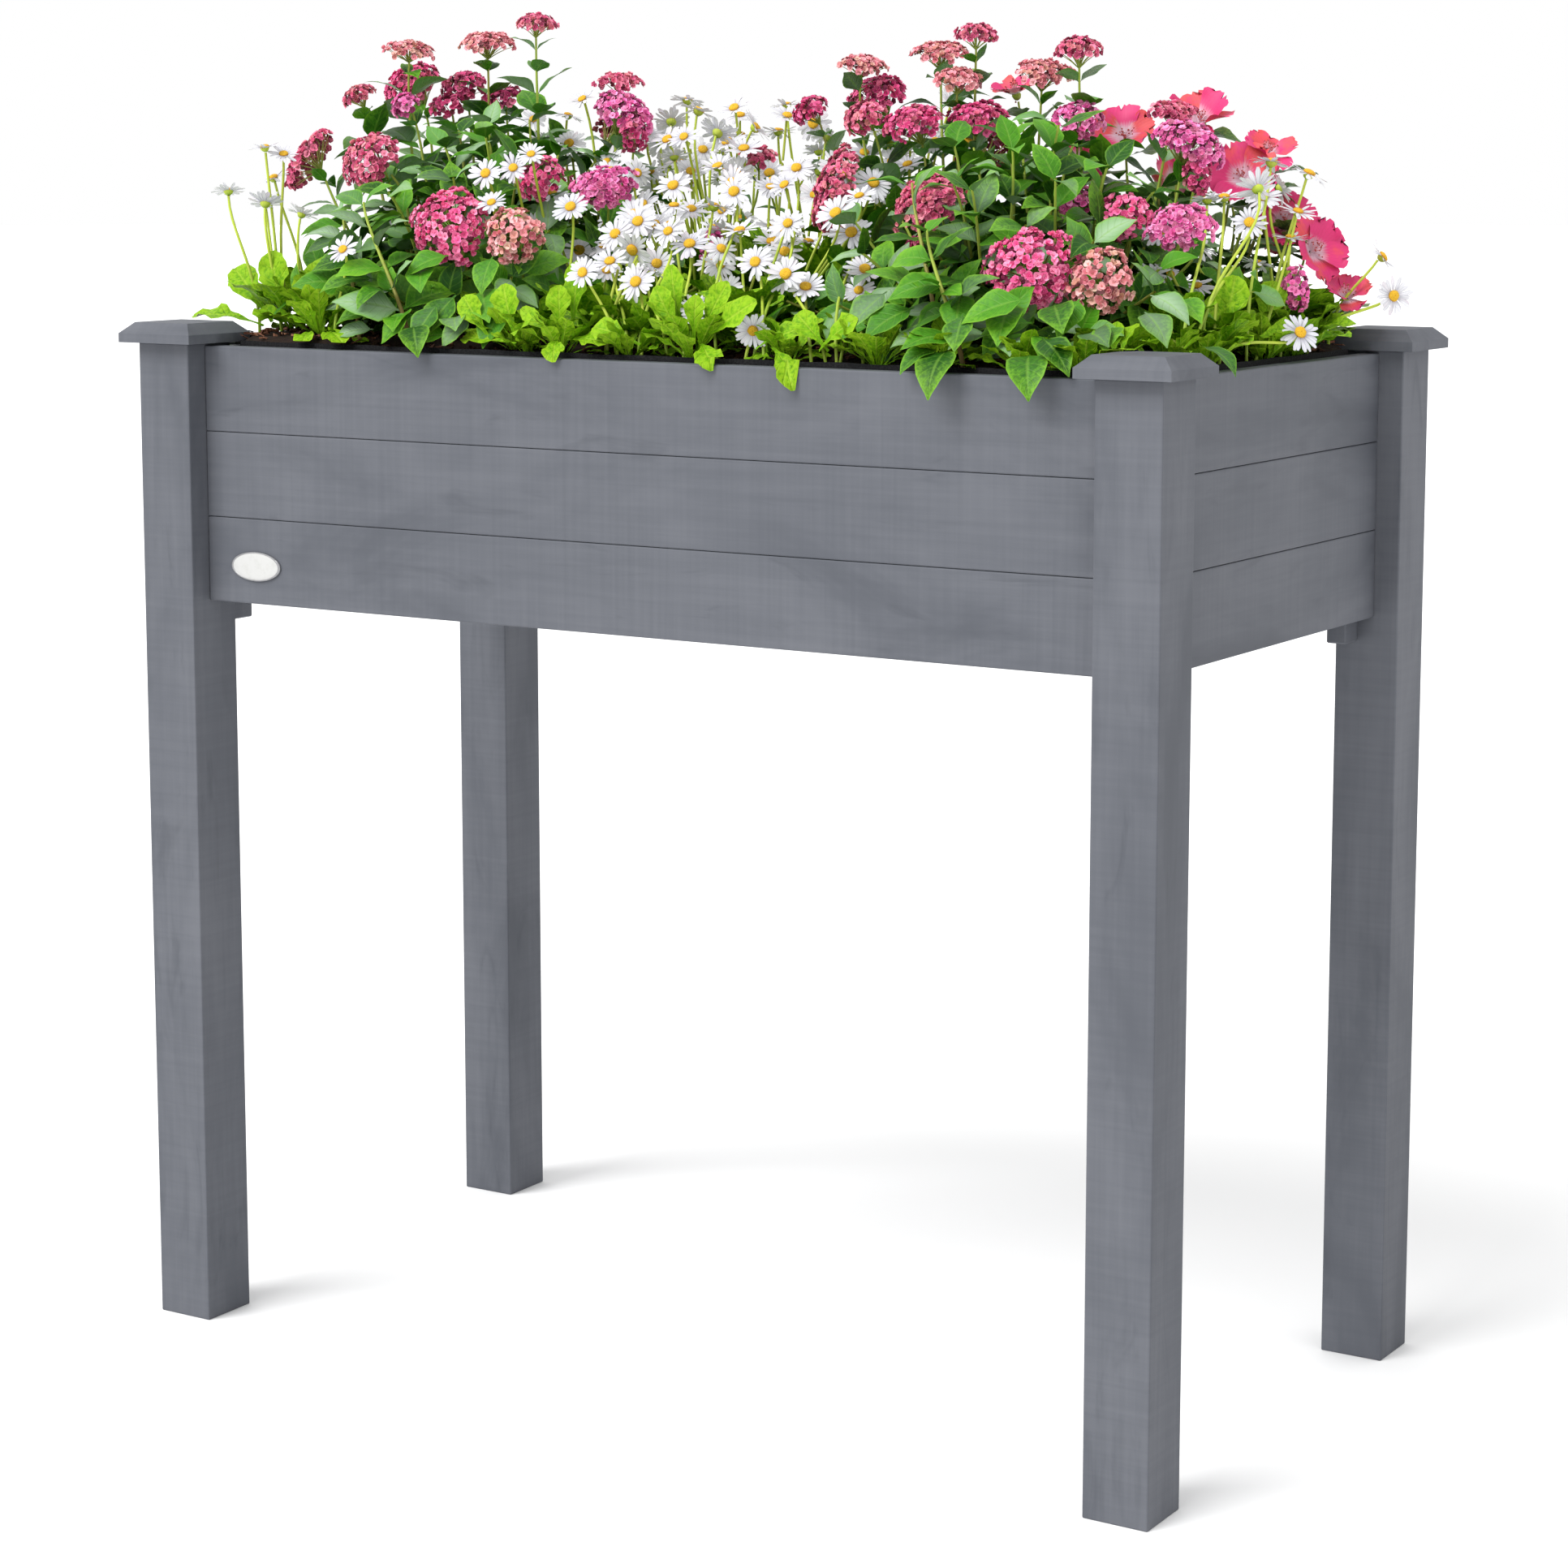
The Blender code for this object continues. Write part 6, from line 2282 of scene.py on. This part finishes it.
@dataclass
class Mallow:
    """A mallow along the back: upright stems, toothed leaves and open blossoms.

    Attributes:
        blossoms: The blossoms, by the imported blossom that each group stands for.
        foot: Place along the bed towards which the stems draw in.
        leafy: Least and most X, Y and Z of the tips of stems that bear leaves alone.
        leafy_stems: Number of those stems.
        seed: Start of its random numbers.
        stamens: Stamens in a blossom.
        stem_leaves: Leaves on each stem.
        points: Points along a stem.
    """

    blossoms: dict[str, tuple[Blossom, ...]]
    foot: float = 0.262
    leafy: tuple[Pair, ...] = ((0.16, 0.37), (0.1, 0.165), (0.82, 0.9))
    leafy_stems: int = 12
    seed: int = 41
    stamens: int = 24
    stem_leaves: int = 7
    points: int = 12

    def add_blossoms(self, draft: Draft, group: tuple[Blossom, ...], rng: Random) -> None:
        """Adds petals, green cups and stamens.

        Args:
            draft: The mesh.
            group: The blossoms.
            rng: Random numbers.
        """
        count, petals = len(group), 5
        total = count * petals
        middles = np.array([blossom.centre for blossom in group])
        ways = unit(np.array([blossom.facing for blossom in group]))
        size = np.array([blossom.radius for blossom in group])
        turn = rng.uniform(0, math.tau, (count, 1)) + math.tau * np.arange(petals) / petals
        out, along, face = whorl(ways, turn, rng.normal(0.55, 0.12, (count, petals)))
        tone = tones(rng.uniform(0, 1, total))
        length = np.repeat(size, petals) * rng.uniform(0.98, 1.1, total)
        base = np.repeat(middles, petals, axis=0) + out.reshape(-1, 3) * 0.001
        add_sheets(
            draft, MALLOW_PETAL, tone, 0, base=base, along=along.reshape(-1, 3), face=face.reshape(-1, 3),
            length=length, width=length * rng.uniform(0.98, 1.12, total), droop=rng.normal(0.35, 0.18, total),
            fold=np.full(total, 0.12), twist=rng.normal(0.1, 0.15, total), curl=0.1,
        )
        add_turned(draft, middles, ways, MALLOW_CUP, 10, size, np.zeros((count, 3)), 1)
        self.add_stamens(draft, middles, ways, rng)

    def add_stamens(self, draft: Draft, middles: Array, ways: Array, rng: Random) -> None:
        """Adds a brush of stamens to each blossom.

        Args:
            draft: The mesh.
            middles: The blossoms' middles.
            ways: The ways they face.
            rng: Random numbers.
        """
        centre = np.repeat(middles, self.stamens, axis=0)
        way = np.repeat(ways, self.stamens, axis=0)
        total = len(centre)
        spray = unit(way * 1.1 + rng.normal(0, 0.55, (total, 3)))
        length = rng.uniform(0.005, 0.01, (total, 1))
        tips = centre + way * 0.002 + spray * length
        paths = arcs(centre, centre + way * 0.003, tips - spray * 0.002, tips, 4)
        tone = tones(rng.uniform(0, 0.4, total))
        add_tubes(draft, paths, np.full(4, 0.00022), 3, tone, 2)
        add_turned(draft, tips, spray, ANTHER, 5, rng.uniform(0.0005, 0.0008, total), tone, 3)

    def build(self, leaf: Material, stem: Material) -> None:
        """Builds the mallow.

        Args:
            leaf: The leaves' material.
            stem: The stems' material.
        """
        rng = np.random.default_rng(self.seed)
        petal = MallowFinish("mallow_petal").make()
        filament, anther = (finish.make() for finish in (FILAMENT_FINISH, ANTHER_FINISH))
        for node, group in self.blossoms.items():
            draft = Draft()
            self.add_blossoms(draft, group, rng)
            name = node.replace("mallow_blossom", "mallow_blossoms")
            put_on(draft.build(name, petal, stem, filament, anther), "mallow_petals", node)
        body = Draft()
        stems = self.stems(rng)
        radii = np.linspace(0.0017, 0.0009, self.points)
        add_tubes(body, stems, radii, 6, tones(rng.uniform(0, 1, len(stems))), 1)
        self.add_leaves(body, stems, rng)
        put_on(body.build("mallow_plant", leaf, stem), "mallow_leaves", "mallow_bush")

    def stems(self, rng: Random) -> Array:
        """Stems to the blossoms, and some that bear leaves alone.

        Args:
            rng: Random numbers.

        Returns:
            Points along curves, (n, points, 3).
        """
        every = [blossom for group in self.blossoms.values() for blossom in group]
        ways = unit(np.array([blossom.facing for blossom in every]))
        tips = np.array([blossom.centre for blossom in every]) - ways * 0.006
        leafy = np.column_stack([rng.uniform(low, high, self.leafy_stems) for low, high in self.leafy])
        leafy[:, 2] -= np.abs(leafy[:, 0] - 0.24) * 0.3
        ends = np.concatenate([tips, leafy])
        x = np.minimum(ends[:, 0] * 0.6 + self.foot * 0.4, 0.36)
        feet = np.column_stack([x, np.clip(ends[:, 1], 0.11, 0.16), np.full(len(ends), SOIL_TOP - 0.004)])
        height = np.linalg.norm(ends - feet, axis=1, keepdims=True)
        below = ends - unit(UP + rng.normal(0, 0.3, ends.shape)) * height * 0.3
        return arcs(feet, feet + UP * height * 0.4, below, ends, self.points)

    def add_leaves(self, draft: Draft, stems: Array, rng: Random) -> None:
        """Adds leaves all along the stems.

        Args:
            draft: The mesh.
            stems: The stems.
            rng: Random numbers.
        """
        rows: list[tuple] = []
        marks = np.arange(self.points)
        for path in stems:
            for share in np.linspace(0.25, 0.92, self.stem_leaves):
                spot = place_at(path, marks, share * marks[-1])
                turn = rng.uniform(0, math.tau)
                along = unit(np.array((math.cos(turn), math.sin(turn) * 0.7, 0.35)))
                size = rng.uniform(0.028, 0.042)
                face, width = UP + rng.normal(0, 0.25, 3), size * rng.uniform(0.7, 0.85)
                droop, fold, twist = rng.normal(0.8, 0.25), rng.normal(0.15, 0.1), rng.normal(0, 0.2)
                tone = (rng.uniform(0, 1), rng.uniform(0, 1), rng.uniform(0, 0.6))
                rows.append((spot, along, face, size, width, droop, fold, twist, tone))
        add_sheets(draft, MALLOW_LEAF, settle=True, **gathered(rows))


MALLOW = Mallow({
    "mallow_blossom_left": (
        Blossom((0.136, 0.12, 0.935), (-0.1, -0.4, 0.9), 0.019),
        Blossom((0.226, 0.12, 0.903), (0.2, -0.8, 0.5), 0.025),
        Blossom((0.17, 0.15, 0.885), (-0.2, 0.85, 0.45), 0.024),
        Blossom((0.245, 0.16, 0.87), (0.1, 0.85, 0.45), 0.024),
    ),
    "mallow_blossom_right": (
        Blossom((0.281, 0.13, 0.913), (0.35, -0.45, 0.8), 0.028),
        Blossom((0.334, 0.132, 0.89), (0.3, -0.3, 0.85), 0.022),
        Blossom((0.321, 0.118, 0.873), (0.3, -0.8, 0.4), 0.028),
        Blossom((0.346, 0.135, 0.842), (0.45, -0.6, 0.45), 0.024),
        Blossom((0.367, 0.135, 0.822), (0.85, -0.35, 0.35), 0.026),
        Blossom((0.391, 0.145, 0.789), (0.3, -0.4, 0.8), 0.02),
        Blossom((0.315, 0.165, 0.835), (0.3, 0.85, 0.4), 0.023),
    ),
})


# ---- Studio ----


@dataclass
class Studio:
    """A pale floor, soft lights, and the camera.

    Attributes:
        camera_place: Where the camera stands.
        camera_turn: Its turn about the upright, in radians.
        camera_pitch: How far it looks down, in degrees.
        lens: Focal length on a 36 mm sensor.
        shift: Upward shift of the picture.
        sky: Strength of the light from all round.
        key: Strength of the large soft lamp.
        key_from: The way towards it.
        key_spread: How wide it is, in degrees.
    """

    camera_place: Point = (1.4035, -2.2323, 0.8956)
    camera_turn: float = 0.5586
    camera_pitch: float = 7.66
    lens: float = 81.8
    shift: float = -0.1
    sky: float = 1.0
    key: float = 2.8
    key_from: Point = (-0.35, -0.8, 0.95)
    key_spread: float = 38.0

    def build(self) -> None:
        """Makes the floor, the light and the camera."""
        scene = bpy.context.scene
        scene.view_settings.view_transform = "Standard"
        world = bpy.data.worlds.new("studio")
        world.use_nodes = True
        world.node_tree.nodes["Background"].inputs["Color"].default_value = (1.0, 1.0, 1.0, 1.0)
        world.node_tree.nodes["Background"].inputs["Strength"].default_value = self.sky
        scene.world = world
        bpy.ops.mesh.primitive_circle_add(vertices=96, radius=40, fill_type="NGON")
        floor = bpy.context.object
        floor.name = "floor"
        bench = Bench("pale_floor")
        grain = bench.noise(bench.here(), 3.0, 2.0)
        floor.data.materials.append(bench.done(base_color=bench.blend(grain, (0.9,) * 3, (0.93,) * 3),
                                               roughness=0.7 + 0.1 * grain))
        light = bpy.data.lights.new("soft_key", "SUN")
        light.energy = self.key
        light.angle = math.radians(self.key_spread)
        lamp = bpy.data.objects.new(light.name, light)
        lamp.rotation_euler = Vector(self.key_from).to_track_quat("Z", "Y").to_euler()
        scene.collection.objects.link(lamp)
        data = bpy.data.cameras.new("camera")
        data.sensor_width = 36
        data.lens = self.lens
        data.shift_y = self.shift
        camera = bpy.data.objects.new("camera", data)
        camera.location = self.camera_place
        camera.rotation_euler = (math.radians(90 - self.camera_pitch), 0, self.camera_turn)
        scene.collection.objects.link(camera)
        scene.camera = camera


def main() -> None:
    """Builds the bed, its plants and the studio."""
    logging.basicConfig(level=logging.INFO, format="%(name)s: %(message)s")
    TimberBox().dress()
    OvalPlate().build()
    Liner().build()
    Soil().build()
    leaf = LeafFinish("shrub_leaf", dark=(0.011, 0.066, 0.003), body=(0.062, 0.24, 0.008),
                      fresh=(0.175, 0.4, 0.02), vein=(0.17, 0.35, 0.04), sky_sheen=(0.36, 0.5, 0.33),
                      mottled=0.24, margin=0.5, sky_sheen_share=0.85).make()
    stem = StemFinish("shrub_stem", (0.18, 0.12, 0.03), (0.34, 0.44, 0.05), (0.26, 0.13, 0.05)).make()
    stalk = StemFinish("floret_stalk", (0.3, 0.38, 0.06), (0.44, 0.4, 0.12), (0.52, 0.2, 0.18)).make()
    florets = {tint: tint.value.make() for tint in Tint}
    for shrub in SHRUBS:
        shrub.build(florets, leaf, stem, stalk)
    lime = LeafFinish("daisy_leaf", dark=(0.06, 0.18, 0.003), body=(0.145, 0.35, 0.004),
                      fresh=(0.26, 0.45, 0.016), vein=(0.38, 0.54, 0.05), sky_sheen=(0.25, 0.42, 0.07), veins=5.0,
                      mottled=0.55, margin=0.35, sky_sheen_share=0.3, crinkle=0.0014, sheen=0.08).make()
    green_stem = StemFinish("daisy_stem", (0.28, 0.42, 0.03), (0.47, 0.58, 0.05), (0.38, 0.4, 0.05)).make()
    ray = RayFinish("daisy_ray").make()
    disc = DiscFinish("daisy_disc").make()
    for clump in DAISY_CLUMPS:
        clump.build(lime, green_stem, ray, disc)
    mallow_leaf = LeafFinish("mallow_leaf", dark=(0.03, 0.1, 0.02), body=(0.09, 0.22, 0.04),
                             fresh=(0.22, 0.36, 0.08), vein=(0.24, 0.36, 0.12), sky_sheen=(0.18, 0.28, 0.14),
                             veins=5.0, margin=0.4).make()
    MALLOW.build(mallow_leaf, stem)
    Studio().build()
    LOG.info("built")


if __name__ == "__main__":
    main()
